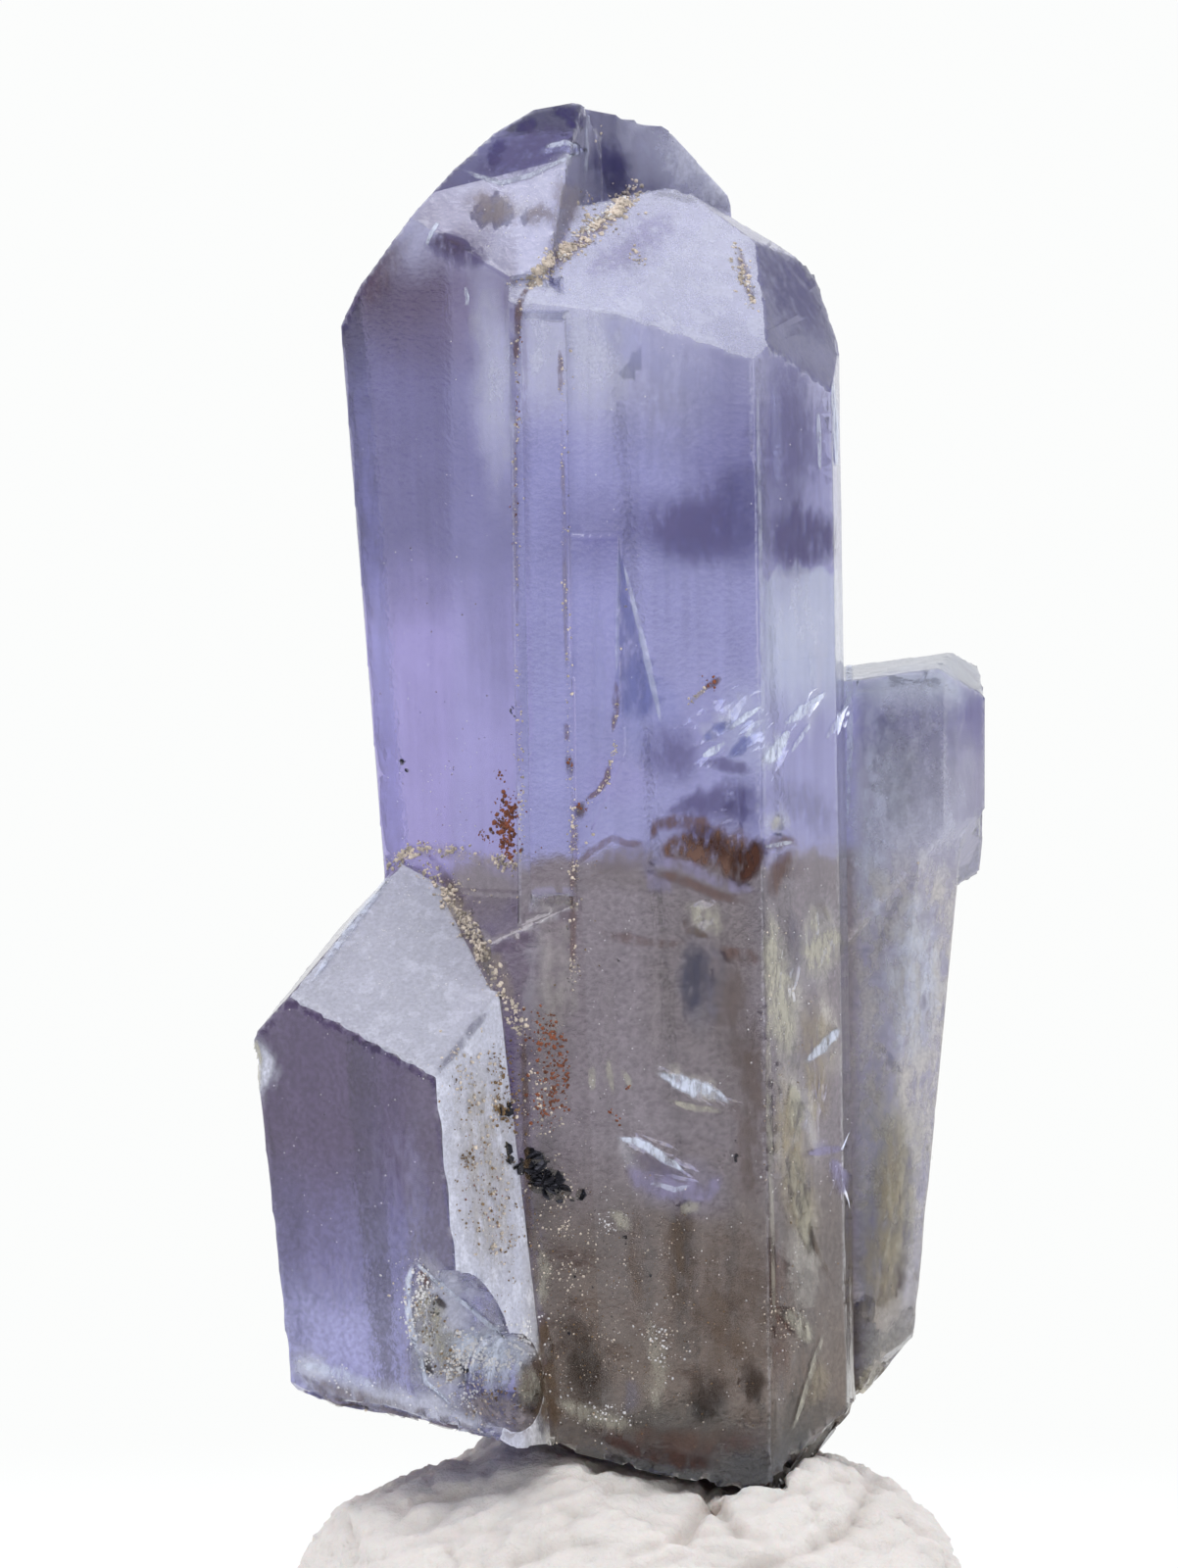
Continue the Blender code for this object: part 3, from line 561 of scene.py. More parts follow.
GRAPHITE_PATHS = [
    ([(538, 1185), (556, 1200), (578, 1218)], 11, 46, 0.15),
    ([(556, 1200), (560, 1212)], 8, 14, 0.20),
    ([(518, 1168), (521, 1190)], 3, 9, 0.09),
    ([(514, 1130), (518, 1138)], 4, 6, 0.07),
    ([(412, 776), (415, 786)], 3, 5, 0.055),
    ([(521, 722), (524, 730)], 3, 4, 0.050),
    ([(478, 922), (482, 932)], 3, 4, 0.045),
    ([(448, 1318), (440, 1342)], 5, 8, 0.055),
    ([(470, 1395), (474, 1399)], 3, 2, 0.045),
    ([(638, 1262), (638, 1270)], 2, 3, 0.040),
    ([(664, 1296), (664, 1306)], 2, 2, 0.030),
    ([(590, 1320), (614, 1304)], 4, 5, 0.028),
    ([(750, 1164), (751, 1186)], 1, 6, 0.034),
    ([(625, 977), (633, 981)], 2, 2, 0.028),
    ([(560, 925), (585, 1010)], 16, 8, 0.022),
    ([(420, 600), (470, 840)], 60, 30, 0.012),
    ([(340, 1110), (400, 1180)], 40, 16, 0.012),
    ([(600, 1150), (640, 1400)], 50, 40, 0.016),
    ([(585, 1240), (582, 1371)], 6, 4, 0.030),
]


# Folds and dents pressed into the putty, also painted darker as shade: (depth in millimetres, half width in pixels,
# path of pixels)
PUTTY_FOLDS = [
    (0.20, 14, [(698, 1558), (710, 1538), (724, 1522)]),
    (0.20, 12, [(724, 1522), (738, 1540), (754, 1554)]),
    (0.10, 10, [(724, 1522), (722, 1510)]),
    (0.14, 14, [(753, 1602), (800, 1588), (835, 1577), (870, 1556), (884, 1540), (892, 1508)]),
    (0.20, 36, [(372, 1512), (400, 1496), (440, 1486), (482, 1478)]),
    (0.07, 11, [(400, 1534), (436, 1520), (500, 1512), (574, 1503)]),
    (0.08, 10, [(640, 1585), (676, 1570), (713, 1560), (786, 1564)]),
    (0.14, 8, [(456, 1576), (464, 1588)]),
    (0.14, 8, [(348, 1550), (353, 1562)]),
    (0.06, 9, [(560, 1530), (620, 1545), (680, 1540)]),
    (0.06, 9, [(520, 1590), (580, 1572), (620, 1575)]),
    (0.07, 10, [(596, 1500), (640, 1516), (690, 1516)]),
    (0.06, 9, [(790, 1524), (830, 1516), (862, 1500)]),
]


class CrystalSettings(PropertyGroup):
    """The crystals' fine surface, clarity and colours."""

    cell: FloatProperty(
        name="Cell",
        description="Distance between the cuts that split the surface into small faces",
        default=0.10 * MM,
        unit="LENGTH",
    )
    etching: FloatProperty(
        name="Etching",
        description="Depth of the growth lines and etched hollows",
        default=0.02 * MM,
        unit="LENGTH",
    )
    refraction: FloatProperty(
        name="Refraction",
        description="Index of refraction of the mineral",
        default=1.69,
        min=1.0,
    )
    clarity: FloatProperty(
        name="Clarity",
        description="Share of the light that passes into the crystal",
        default=0.74,
        subtype="FACTOR",
        min=0.0,
        max=1.0,
    )
    absorption: FloatProperty(
        name="Absorption",
        description="How strongly the crystal's inside takes up light, per metre",
        default=120.0,
    )
    inner_colour: FloatVectorProperty(
        name="Inner colour",
        description="Colour that the inside lets through",
        default=(0.36, 0.40, 0.72),
        subtype="COLOR",
    )
    pale_lilac: FloatVectorProperty(
        name="Pale lilac",
        description="Frosted upper faces",
        default=(0.66, 0.65, 0.86),
        subtype="COLOR",
    )
    lilac: FloatVectorProperty(
        name="Lilac",
        description="Main colour of the front crystal",
        default=(0.47, 0.46, 0.77),
        subtype="COLOR",
    )
    blue_lilac: FloatVectorProperty(
        name="Blue lilac",
        description="Clear bluish bodies in the front crystal",
        default=(0.34, 0.36, 0.72),
        subtype="COLOR",
    )
    grey_lilac: FloatVectorProperty(
        name="Grey lilac",
        description="Main colour of the crystal at the back",
        default=(0.44, 0.42, 0.56),
        subtype="COLOR",
    )
    bright_violet: FloatVectorProperty(
        name="Bright violet",
        description="Lower half of the back crystal",
        default=(0.52, 0.45, 0.84),
        subtype="COLOR",
    )
    violet: FloatVectorProperty(
        name="Violet",
        description="Middle of the back crystal",
        default=(0.22, 0.20, 0.42),
        subtype="COLOR",
    )
    mauve: FloatVectorProperty(
        name="Mauve",
        description="Dark reddish violet of the side crystal",
        default=(0.14, 0.095, 0.20),
        subtype="COLOR",
    )
    # Also the colour of the painted dark reflection on the darkest faces
    indigo: FloatVectorProperty(
        name="Indigo",
        description="Deepest colour zones",
        default=(0.045, 0.038, 0.19),
        subtype="COLOR",
    )
    ink: FloatVectorProperty(
        name="Ink",
        description="Dark blue-grey inclusion",
        default=(0.085, 0.09, 0.14),
        subtype="COLOR",
    )
    # Also a painted highlight over the fractures
    ice_blue: FloatVectorProperty(
        name="Ice blue",
        description="Palest zone of the right-hand faces",
        default=(0.80, 0.87, 1.0),
        subtype="COLOR",
    )
    # Also painted highlights, where the fractures glint
    white_veil_and_highlight: FloatVectorProperty(
        name="Veil",
        description="White of fractures and frosted spots",
        default=(0.95, 0.96, 1.0),
        subtype="COLOR",
    )
    straw: FloatVectorProperty(
        name="Straw",
        description="Pale yellowish streaks in the lower right-hand faces",
        default=(0.72, 0.68, 0.56),
        subtype="COLOR",
    )
    dusk: FloatVectorProperty(
        name="Dusk",
        description="Greyish violet between the violet and the brown",
        default=(0.31, 0.255, 0.27),
        subtype="COLOR",
    )
    smoke: FloatVectorProperty(
        name="Smoke",
        description="Grey-brown lower half of the front crystal",
        default=(0.172, 0.127, 0.106),
        subtype="COLOR",
    )
    foot_brown: FloatVectorProperty(
        name="Foot brown",
        description="Brown towards the broken foot",
        default=(0.195, 0.132, 0.088),
        subtype="COLOR",
    )
    umber: FloatVectorProperty(
        name="Umber",
        description="Darkest brown streaks and spots",
        default=(0.006, 0.002, 0.001),
        subtype="COLOR",
    )
    stain: FloatVectorProperty(
        name="Stain",
        description="Iron stain between the violet and the brown",
        default=(0.016, 0.004, 0.002),
        subtype="COLOR",
    )


class InclusionSettings(PropertyGroup):
    """The colours of the bodies, veils and stains that show at the surface, and of the painted highlights, dark
    reflection and contact shadow.
    """

    # Also painted highlights, where fractures, edges and chips glint
    ice_veil_and_highlight: FloatVectorProperty(
        name="Ice", description="Bright fractures and veils", default=(0.72, 0.77, 0.91), subtype="COLOR"
    )
    # Also painted highlights, where fractures glint
    cream_body_and_highlight: FloatVectorProperty(
        name="Cream", description="Pale crumbs and bodies", default=(0.53, 0.51, 0.43), subtype="COLOR"
    )
    straw: FloatVectorProperty(
        name="Straw", description="Yellowish bodies and clay", default=(0.40, 0.34, 0.235), subtype="COLOR"
    )
    taupe: FloatVectorProperty(
        name="Taupe", description="Warm grey haze", default=(0.235, 0.195, 0.205), subtype="COLOR"
    )
    taupe_pale: FloatVectorProperty(
        name="Pale taupe", description="Pale growth streaks", default=(0.36, 0.32, 0.34), subtype="COLOR"
    )
    lavender: FloatVectorProperty(
        name="Lavender", description="Pale violet seams", default=(0.33, 0.30, 0.50), subtype="COLOR"
    )
    # Also a painted highlight on the top of the back crystal
    periwinkle: FloatVectorProperty(
        name="Periwinkle", description="Light blue-violet streaks", default=(0.42, 0.43, 0.72), subtype="COLOR"
    )
    cobalt: FloatVectorProperty(
        name="Cobalt", description="Blue bodies", default=(0.125, 0.145, 0.38), subtype="COLOR"
    )
    grape: FloatVectorProperty(
        name="Grape", description="Dark violet zones", default=(0.105, 0.085, 0.20), subtype="COLOR"
    )
    # Also the painted dark reflection on the top of the back crystal
    indigo: FloatVectorProperty(
        name="Indigo", description="Darkest blue-violet spots", default=(0.045, 0.034, 0.155), subtype="COLOR"
    )
    slate: FloatVectorProperty(
        name="Slate", description="Blue-grey bodies", default=(0.185, 0.180, 0.245), subtype="COLOR"
    )
    ink: FloatVectorProperty(
        name="Ink", description="Dark blue-grey inclusion", default=(0.075, 0.075, 0.115), subtype="COLOR"
    )
    # Also the painted contact shadow along the foot
    brown: FloatVectorProperty(
        name="Brown", description="Iron stain", default=(0.155, 0.085, 0.065), subtype="COLOR"
    )
    # Also the painted contact shadow along the foot
    red_brown: FloatVectorProperty(
        name="Red-brown", description="Strongest iron stain", default=(0.065, 0.024, 0.016), subtype="COLOR"
    )
    umber: FloatVectorProperty(
        name="Umber", description="Brown streaks", default=(0.115, 0.074, 0.044), subtype="COLOR"
    )
    soot: FloatVectorProperty(
        name="Soot", description="Darkest brown spots", default=(0.040, 0.026, 0.018), subtype="COLOR"
    )


class DustSettings(PropertyGroup):
    """The loose and grown-on grains."""

    density: FloatProperty(
        name="Density",
        description="Share of the grains that are made",
        default=1.0,
        min=0.0,
    )
    dust_colour: FloatVectorProperty(
        name="Dust",
        description="Clay dust in the grooves",
        default=(0.60, 0.52, 0.45),
        subtype="COLOR",
    )
    white_colour: FloatVectorProperty(
        name="White grains",
        description="Fine white crystal grains",
        default=(0.76, 0.75, 0.78),
        subtype="COLOR",
    )
    earth_colour: FloatVectorProperty(
        name="Earth",
        description="Ochre-brown specks",
        default=(0.19, 0.12, 0.06),
        subtype="COLOR",
    )
    rust_colour: FloatVectorProperty(
        name="Rust",
        description="Iron oxide grains",
        default=(0.20, 0.060, 0.028),
        subtype="COLOR",
    )
    graphite_colour: FloatVectorProperty(
        name="Graphite",
        description="Graphite flakes",
        default=(0.022, 0.022, 0.030),
        subtype="COLOR",
    )


class PuttySettings(PropertyGroup):
    """The mounting putty."""

    cell: FloatProperty(
        name="Cell",
        description="Size of the small faces of the putty",
        default=0.10 * MM,
        unit="LENGTH",
    )
    roughness: FloatProperty(
        name="Lumps",
        description="Depth of the kneaded lumps and wrinkles",
        default=0.14 * MM,
        unit="LENGTH",
    )
    colour: FloatVectorProperty(
        name="Putty",
        description="Colour of the putty",
        default=(0.86, 0.815, 0.79),
        subtype="COLOR",
    )


class StudioSettings(PropertyGroup):
    """Floor, light and backdrop."""

    floor_radius: FloatProperty(
        name="Floor radius",
        description="Radius of the pale floor",
        default=400 * MM,
        unit="LENGTH",
    )
    backdrop: FloatVectorProperty(
        name="Backdrop",
        description="Colour of the floor and of what is behind it",
        default=(0.972, 0.980, 0.975),
        subtype="COLOR",
    )
    softbox: FloatProperty(
        name="Softbox",
        description="Brightness of the upper softbox",
        default=2.6,
    )
    seed: IntProperty(name="Seed", description="Start of every random draw", default=7)


# Meshes


def mesh_in_mm(node):
    """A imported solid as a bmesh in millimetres, with its flat faces whole again."""
    shape = bmesh.new()
    shape.from_mesh(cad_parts[node].data)
    bmesh.ops.scale(shape, vec=(1.0 / MM,) * 3, verts=shape.verts)
    bmesh.ops.remove_doubles(shape, verts=shape.verts, dist=1e-4)
    bmesh.ops.dissolve_limit(
        shape, angle_limit=math.radians(0.2), verts=shape.verts, edges=shape.edges
    )
    bmesh.ops.recalc_face_normals(shape, faces=shape.faces)
    return shape


def add_piece(name, shape, material, sharp_angle=None):
    """Turns a bmesh in millimetres into an object in metres that rides on the body."""
    bmesh.ops.scale(shape, vec=(MM,) * 3, verts=shape.verts)
    mesh = bpy.data.meshes.new(name)
    shape.to_mesh(mesh)
    shape.free()
    mesh.shade_smooth()
    if sharp_angle is not None:
        mesh.set_sharp_from_angle(angle=math.radians(sharp_angle))
    mesh.materials.append(material)
    piece = bpy.data.objects.new(name, mesh)
    bpy.context.scene.collection.objects.link(piece)
    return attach(piece, BODY)


def add_array_piece(name, points, faces, material, sharp_angle=None, values=None):
    """Turns lists of points in millimetres and faces into an object that rides on the body.

    The values are numbers or colours for each point, by name.
    """
    mesh = bpy.data.meshes.new(name)
    mesh.from_pydata([tuple(point * MM) for point in points], [], faces)
    for key, numbers in (values or {}).items():
        if isinstance(numbers[0], float):
            mesh.attributes.new(key, "FLOAT", "POINT").data.foreach_set("value", numbers)
        else:
            flat = [part for colour in numbers for part in colour]
            mesh.attributes.new(key, "FLOAT_COLOR", "POINT").data.foreach_set("color", flat)
    mesh.validate()
    if sharp_angle is None:
        mesh.shade_flat()
    else:
        mesh.shade_smooth()
        mesh.set_sharp_from_angle(angle=math.radians(sharp_angle))
    mesh.materials.append(material)
    piece = bpy.data.objects.new(name, mesh)
    bpy.context.scene.collection.objects.link(piece)
    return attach(piece, BODY)


def slice_up(shape, low, high, cell):
    """Cuts the shape along evenly spaced planes across each axis, then into triangles."""
    for axis in range(3):
        normal = Vector((0.0, 0.0, 0.0))
        normal[axis] = 1.0
        for step in range(1, math.ceil((high[axis] - low[axis]) / cell[axis])):
            bmesh.ops.bisect_plane(
                shape,
                geom=shape.verts[:] + shape.edges[:] + shape.faces[:],
                dist=SNAP,
                plane_co=normal * (low[axis] + step * cell[axis]),
                plane_no=normal,
            )
    bmesh.ops.triangulate(shape, faces=shape.faces)


def smooth_step(low, high, value):
    share = min(1.0, max(0.0, (value - low) / (high - low)))
    return share * share * (3.0 - 2.0 * share)


# Sight lines through the picture


def camera_place():
    """The camera's place, the way it looks and its up direction, in millimetres."""
    rise = math.radians(CAMERA_RISE)
    looking = Vector((0.0, math.cos(rise), -math.sin(rise)))
    upward = Vector((0.0, math.sin(rise), math.cos(rise)))
    aim = Vector(
        (
            (PICTURE_WIDTH / 2 - MIDDLE_LINE_PX) * PIXEL,
            0.0,
            (GROUND_PX - PICTURE_HEIGHT / 2) * PIXEL,
        )
    )
    return aim - looking * CAMERA_DISTANCE, looking, upward


def sight_line(pixel):
    """The direction from the camera through a pixel of the picture."""
    _, looking, upward = camera_place()
    right = Vector((1.0, 0.0, 0.0))
    across = (pixel[0] - PICTURE_WIDTH / 2) * PIXEL
    down = (pixel[1] - PICTURE_HEIGHT / 2) * PIXEL
    return (looking * CAMERA_DISTANCE + right * across - upward * down).normalized()


def land(tree, pixel):
    """The first surface point behind a pixel and its normal, or None."""
    spot, normal, _, _ = tree.ray_cast(camera_place()[0], sight_line(pixel))
    return None if spot is None else (spot, normal)


# Shader nodes


def new_tree(name):
    material = bpy.data.materials.new(name)
    material.use_nodes = True
    tree = material.node_tree
    return material, tree, tree.nodes["Principled BSDF"]


def add_node(tree, kind, inputs=None, **options):
    """Adds a node, sets its options, and sets or links its inputs by name or number."""
    made = tree.nodes.new(kind)
    made.location = (-220 * (len(tree.nodes) % 12) - 200, 300 - 220 * (len(tree.nodes) // 12))
    for option, value in options.items():
        setattr(made, option, value)
    for key, value in (inputs or {}).items():
        if isinstance(value, bpy.types.NodeSocket):
            tree.links.new(value, made.inputs[key])
        else:
            made.inputs[key].default_value = value
    return made


def maths(tree, operation, first, second=0.0, clamp=False):
    made = add_node(
        tree, "ShaderNodeMath", {0: first, 1: second}, operation=operation, use_clamp=clamp
    )
    return made.outputs[0]


def blend_colour(tree, share, first, second, how="MIX"):
    made = add_node(
        tree, "ShaderNodeMix", {0: share, 6: first, 7: second}, data_type="RGBA", blend_type=how
    )
    return made.outputs[2]


def map_range(tree, value, from_low, from_high, to_low=0.0, to_high=1.0, smooth=False):
    made = add_node(
        tree,
        "ShaderNodeMapRange",
        {0: value, 1: from_low, 2: from_high, 3: to_low, 4: to_high},
        interpolation_type="SMOOTHSTEP" if smooth else "LINEAR",
    )
    return made.outputs[0]


def place_in_mm(tree):
    """The surface point in the row frame, in millimetres."""
    place = add_node(tree, "ShaderNodeTexCoord").outputs["Object"]
    return add_node(
        tree, "ShaderNodeVectorMath", {0: place, 3: 1.0 / MM}, operation="SCALE"
    ).outputs[0]


def noise_at(tree, place, scale, detail=3.0, roughness=0.55):
    made = add_node(
        tree,
        "ShaderNodeTexNoise",
        {"Vector": place, "Scale": scale, "Detail": detail, "Roughness": roughness},
    )
    return made.outputs[0]


def stretched(tree, place, across, along):
    """The place with its sides scaled by across and its height by along."""
    return add_node(
        tree, "ShaderNodeVectorMath", {0: place, 1: (across, across, along)}, operation="MULTIPLY"
    ).outputs[0]


def attribute(tree, name):
    return add_node(tree, "ShaderNodeAttribute", attribute_name=name).outputs["Fac"]


def new_group(name, inputs, outputs):
    """A shader node group with (name, kind, default) inputs and (name, kind) outputs."""
    group = bpy.data.node_groups.new(name, "ShaderNodeTree")
    for label, kind, default in inputs:
        socket = group.interface.new_socket(label, in_out="INPUT", socket_type="NodeSocket" + kind)
        socket.default_value = default
    for label, kind in outputs:
        group.interface.new_socket(label, in_out="OUTPUT", socket_type="NodeSocket" + kind)
    return group, group.nodes.new("NodeGroupInput"), group.nodes.new("NodeGroupOutput")


def grain_group():
    """Fine grain: a mask and a height that vary at a given size."""
    name = "Mineral grain"
    if name in bpy.data.node_groups:
        return bpy.data.node_groups[name]
    group, given, made = new_group(
        name,
        [("Scale", "Float", 4.0), ("Contrast", "Float", 2.0)],
        [("Mask", "Float"), ("Height", "Float")],
    )
    place = place_in_mm(group)
    coarse = noise_at(group, place, given.outputs["Scale"], detail=2.0, roughness=0.62)
    centred = maths(group, "SUBTRACT", coarse, 0.5)
    steep = maths(group, "MULTIPLY", centred, given.outputs["Contrast"])
    group.links.new(maths(group, "ADD", steep, 0.5, clamp=True), made.inputs["Mask"])
    group.links.new(coarse, made.inputs["Height"])
    return group


def growth_group():
    """Growth lines that run up the crystals: a mask of fine lines and a height."""
    name = "Growth lines"
    if name in bpy.data.node_groups:
        return bpy.data.node_groups[name]
    group, given, made = new_group(
        name,
        [("Lines per mm", "Float", 5.0), ("Contrast", "Float", 2.0)],
        [("Mask", "Float"), ("Height", "Float")],
    )
    place = stretched(group, place_in_mm(group), 1.0, 0.035)
    fine = noise_at(group, place, given.outputs["Lines per mm"], detail=2.0, roughness=0.6)
    centred = maths(group, "SUBTRACT", fine, 0.5)
    steep = maths(group, "MULTIPLY", centred, given.outputs["Contrast"])
    group.links.new(maths(group, "ADD", steep, 0.5, clamp=True), made.inputs["Mask"])
    group.links.new(fine, made.inputs["Height"])
    return group


def use_group(tree, group, **values):
    """Adds a node group and sets or links its inputs, with _ for the spaces in their names."""
    inputs = {label.replace("_", " "): value for label, value in values.items()}
    made = add_node(tree, "ShaderNodeGroup", node_tree=group)
    for label, value in inputs.items():
        if isinstance(value, bpy.types.NodeSocket):
            tree.links.new(value, made.inputs[label])
        else:
            made.inputs[label].default_value = value
    return made


# The tanzanite

# What the crystals' surface gives to the other pieces: its tree, its grooves and its patches
SURFACE = {}


def zone_ramp(tree, height, zones, colours):
    """A colour for each height, from a list of zones."""
    low, high = CRYSTAL_LOW.z, CRYSTAL_HIGH.z
    ramp = add_node(tree, "ShaderNodeValToRGB", {0: map_range(tree, height, low, high)})
    ramp.color_ramp.interpolation = "EASE"
    elements = ramp.color_ramp.elements
    while len(elements) < len(zones):
        elements.new(0.5)
    for element, (level, colour) in zip(elements, zones):
        element.position = (level - low) / (high - low)
    for element, (level, colour) in zip(elements, zones):
        element.color = (*getattr(colours, colour), 1.0)
    return ramp.outputs[0]


def lay_clouds(tree, colour):
    """Lays the clouds over the colour. They are kept at the mesh's corners."""
    clouds = add_node(tree, "ShaderNodeAttribute", attribute_name="clouds")
    left = maths(tree, "SUBTRACT", 1.0, clouds.outputs["Alpha"])
    under = add_node(tree, "ShaderNodeVectorMath", {0: colour, 3: left}, operation="SCALE")
    return add_node(
        tree,
        "ShaderNodeVectorMath",
        {0: under.outputs[0], 1: clouds.outputs["Color"]},
        operation="ADD",
    ).outputs[0]


def tanzanite_colour(tree, place, colours):
    """The colour zones up each crystal, and the patches over them."""
    axes = add_node(tree, "ShaderNodeSeparateXYZ", {0: place})
    x, y, z = axes.outputs
    ragged = noise_at(tree, stretched(tree, place, 1.0, 0.5), 1.6, detail=2.0, roughness=0.65)
    height = maths(tree, "ADD", z, maths(tree, "MULTIPLY", maths(tree, "SUBTRACT", ragged, 0.5), 1.0))
    front = zone_ramp(tree, height, FRONT_ZONES, colours)
    back = zone_ramp(tree, height, BACK_ZONES, colours)
    rear = zone_ramp(tree, height, REAR_ZONES, colours)
    left_share = map_range(tree, x, -1.55, -1.75, smooth=True)
    colour = blend_colour(tree, left_share, front, back)
    rear_share = maths(
        tree, "MULTIPLY", map_range(tree, x, 3.75, 3.95), map_range(tree, y, 0.7, 1.1)
    )
    colour = blend_colour(tree, rear_share, colour, rear)
    pale = maths(
        tree,
        "MULTIPLY",
        map_range(tree, height, 18.05, 17.95),
        map_range(tree, height, 15.4, 16.4, smooth=True),
    )
    pale = maths(tree, "MULTIPLY", pale, map_range(tree, x, 2.2, 2.35))
    colour = blend_colour(tree, pale, colour, (*colours.ice_blue, 1.0))
    return lay_clouds(tree, colour)


def mineral_height(tree, place):
    """How far up the crystals a place is, from the brown foot (0) to the violet part (1)."""
    z = add_node(tree, "ShaderNodeSeparateXYZ", {0: place}).outputs[2]
    return map_range(tree, z, 12.6, 13.8, smooth=True)


def make_tanzanite():
    """Clear violet crystal: glassy faces, frosted patches, growth lines, worn pale edges, and faces painted indigo as a
    painted dark reflection.
    """
    colours = bpy.context.scene.crystal_settings
    material, tree, shader = new_tree("Tanzanite")
    place = place_in_mm(tree)
    colour = tanzanite_colour(tree, place, colours)
    fine_grain = use_group(tree, grain_group(), Scale=11.0, Contrast=4.0)
    cloud = use_group(tree, grain_group(), Scale=0.9, Contrast=2.0)
    lines = use_group(tree, growth_group(), Lines_per_mm=5.5, Contrast=2.6)
    upper = mineral_height(tree, place)
    # Painted dark reflection: faces that show a dark reflection are painted towards indigo
    deep = attribute(tree, "deep")
    colour = blend_colour(tree, deep, colour, (*colours.indigo, 1.0))
    frost = attribute(tree, "frost")
    frosting = maths(tree, "MULTIPLY", frost, map_range(tree, cloud.outputs["Mask"], 0.0, 1.0, 0.6, 1.0))
    colour = blend_colour(tree, maths(tree, "MULTIPLY", frosting, 0.8), colour, (*colours.white_veil_and_highlight, 1.0))
    clouding = map_range(tree, cloud.outputs["Mask"], 0.0, 1.0, 0.88, 1.10)
    streak = map_range(tree, lines.outputs["Mask"], 0.0, 1.0, 0.91, 1.07)
    low_mottle = map_range(tree, fine_grain.outputs["Mask"], 0.0, 1.0, 0.80, 1.22)
    mottle = maths(tree, "MULTIPLY_ADD", maths(tree, "SUBTRACT", 1.0, low_mottle), upper)
    tree.links.new(low_mottle, mottle.node.inputs[2])
    shade = maths(tree, "MULTIPLY", maths(tree, "MULTIPLY", clouding, streak), mottle)
    colour = add_node(tree, "ShaderNodeVectorMath", {0: colour, 3: shade}, operation="SCALE").outputs[0]
    worn = attribute(tree, "worn")
    chipped = maths(tree, "MULTIPLY", worn, fine_grain.outputs["Mask"])
    colour = blend_colour(tree, maths(tree, "MULTIPLY", chipped, 0.45), colour, (*colours.white_veil_and_highlight, 1.0))
    broken = attribute(tree, "broken")
    roughness = maths(tree, "MULTIPLY_ADD", frosting, 0.38)
    roughness.node.inputs[2].default_value = 0.10
    roughness = maths(tree, "ADD", roughness, maths(tree, "MULTIPLY", broken, 0.12))
    roughness = maths(
        tree, "ADD", roughness, map_range(tree, fine_grain.outputs["Mask"], 0.5, 1.0, 0.0, 0.10)
    )
    back_face = map_range(
        tree,
        add_node(
            tree,
            "ShaderNodeSeparateXYZ",
            {0: add_node(tree, "ShaderNodeNewGeometry").outputs["Normal"]},
        ).outputs[1],
        0.2,
        0.6,
    )
    roughness = maths(tree, "ADD", roughness, maths(tree, "MULTIPLY", back_face, 0.25), clamp=True)
    lines_bump = add_node(
        tree,
        "ShaderNodeBump",
        {"Strength": 0.4, "Distance": 0.008 * MM, "Height": lines.outputs["Height"]},
    )
    grain_bump = add_node(
        tree,
        "ShaderNodeBump",
        {
            "Strength": map_range(tree, broken, 0.0, 1.0, 0.4, 1.0),
            "Distance": 0.016 * MM,
            "Height": fine_grain.outputs["Height"],
            "Normal": lines_bump.outputs[0],
        },
    )
    tree.links.new(colour, shader.inputs["Base Color"])
    tree.links.new(roughness, shader.inputs["Roughness"])
    tree.links.new(grain_bump.outputs[0], shader.inputs["Normal"])
    shader.inputs["IOR"].default_value = colours.refraction
    shader.inputs["Transmission Weight"].default_value = colours.clarity
    shader.inputs["Specular IOR Level"].default_value = 0.3
    shader.inputs["Coat Weight"].default_value = 0.15
    shader.inputs["Coat Roughness"].default_value = 0.04
    shader.inputs["Coat IOR"].default_value = 1.5
    inside = add_node(
        tree,
        "ShaderNodeVolumeAbsorption",
        {"Color": (*colours.inner_colour, 1.0), "Density": colours.absorption},
    )
    tree.links.new(inside.outputs[0], tree.nodes["Material Output"].inputs["Volume"])
    return material


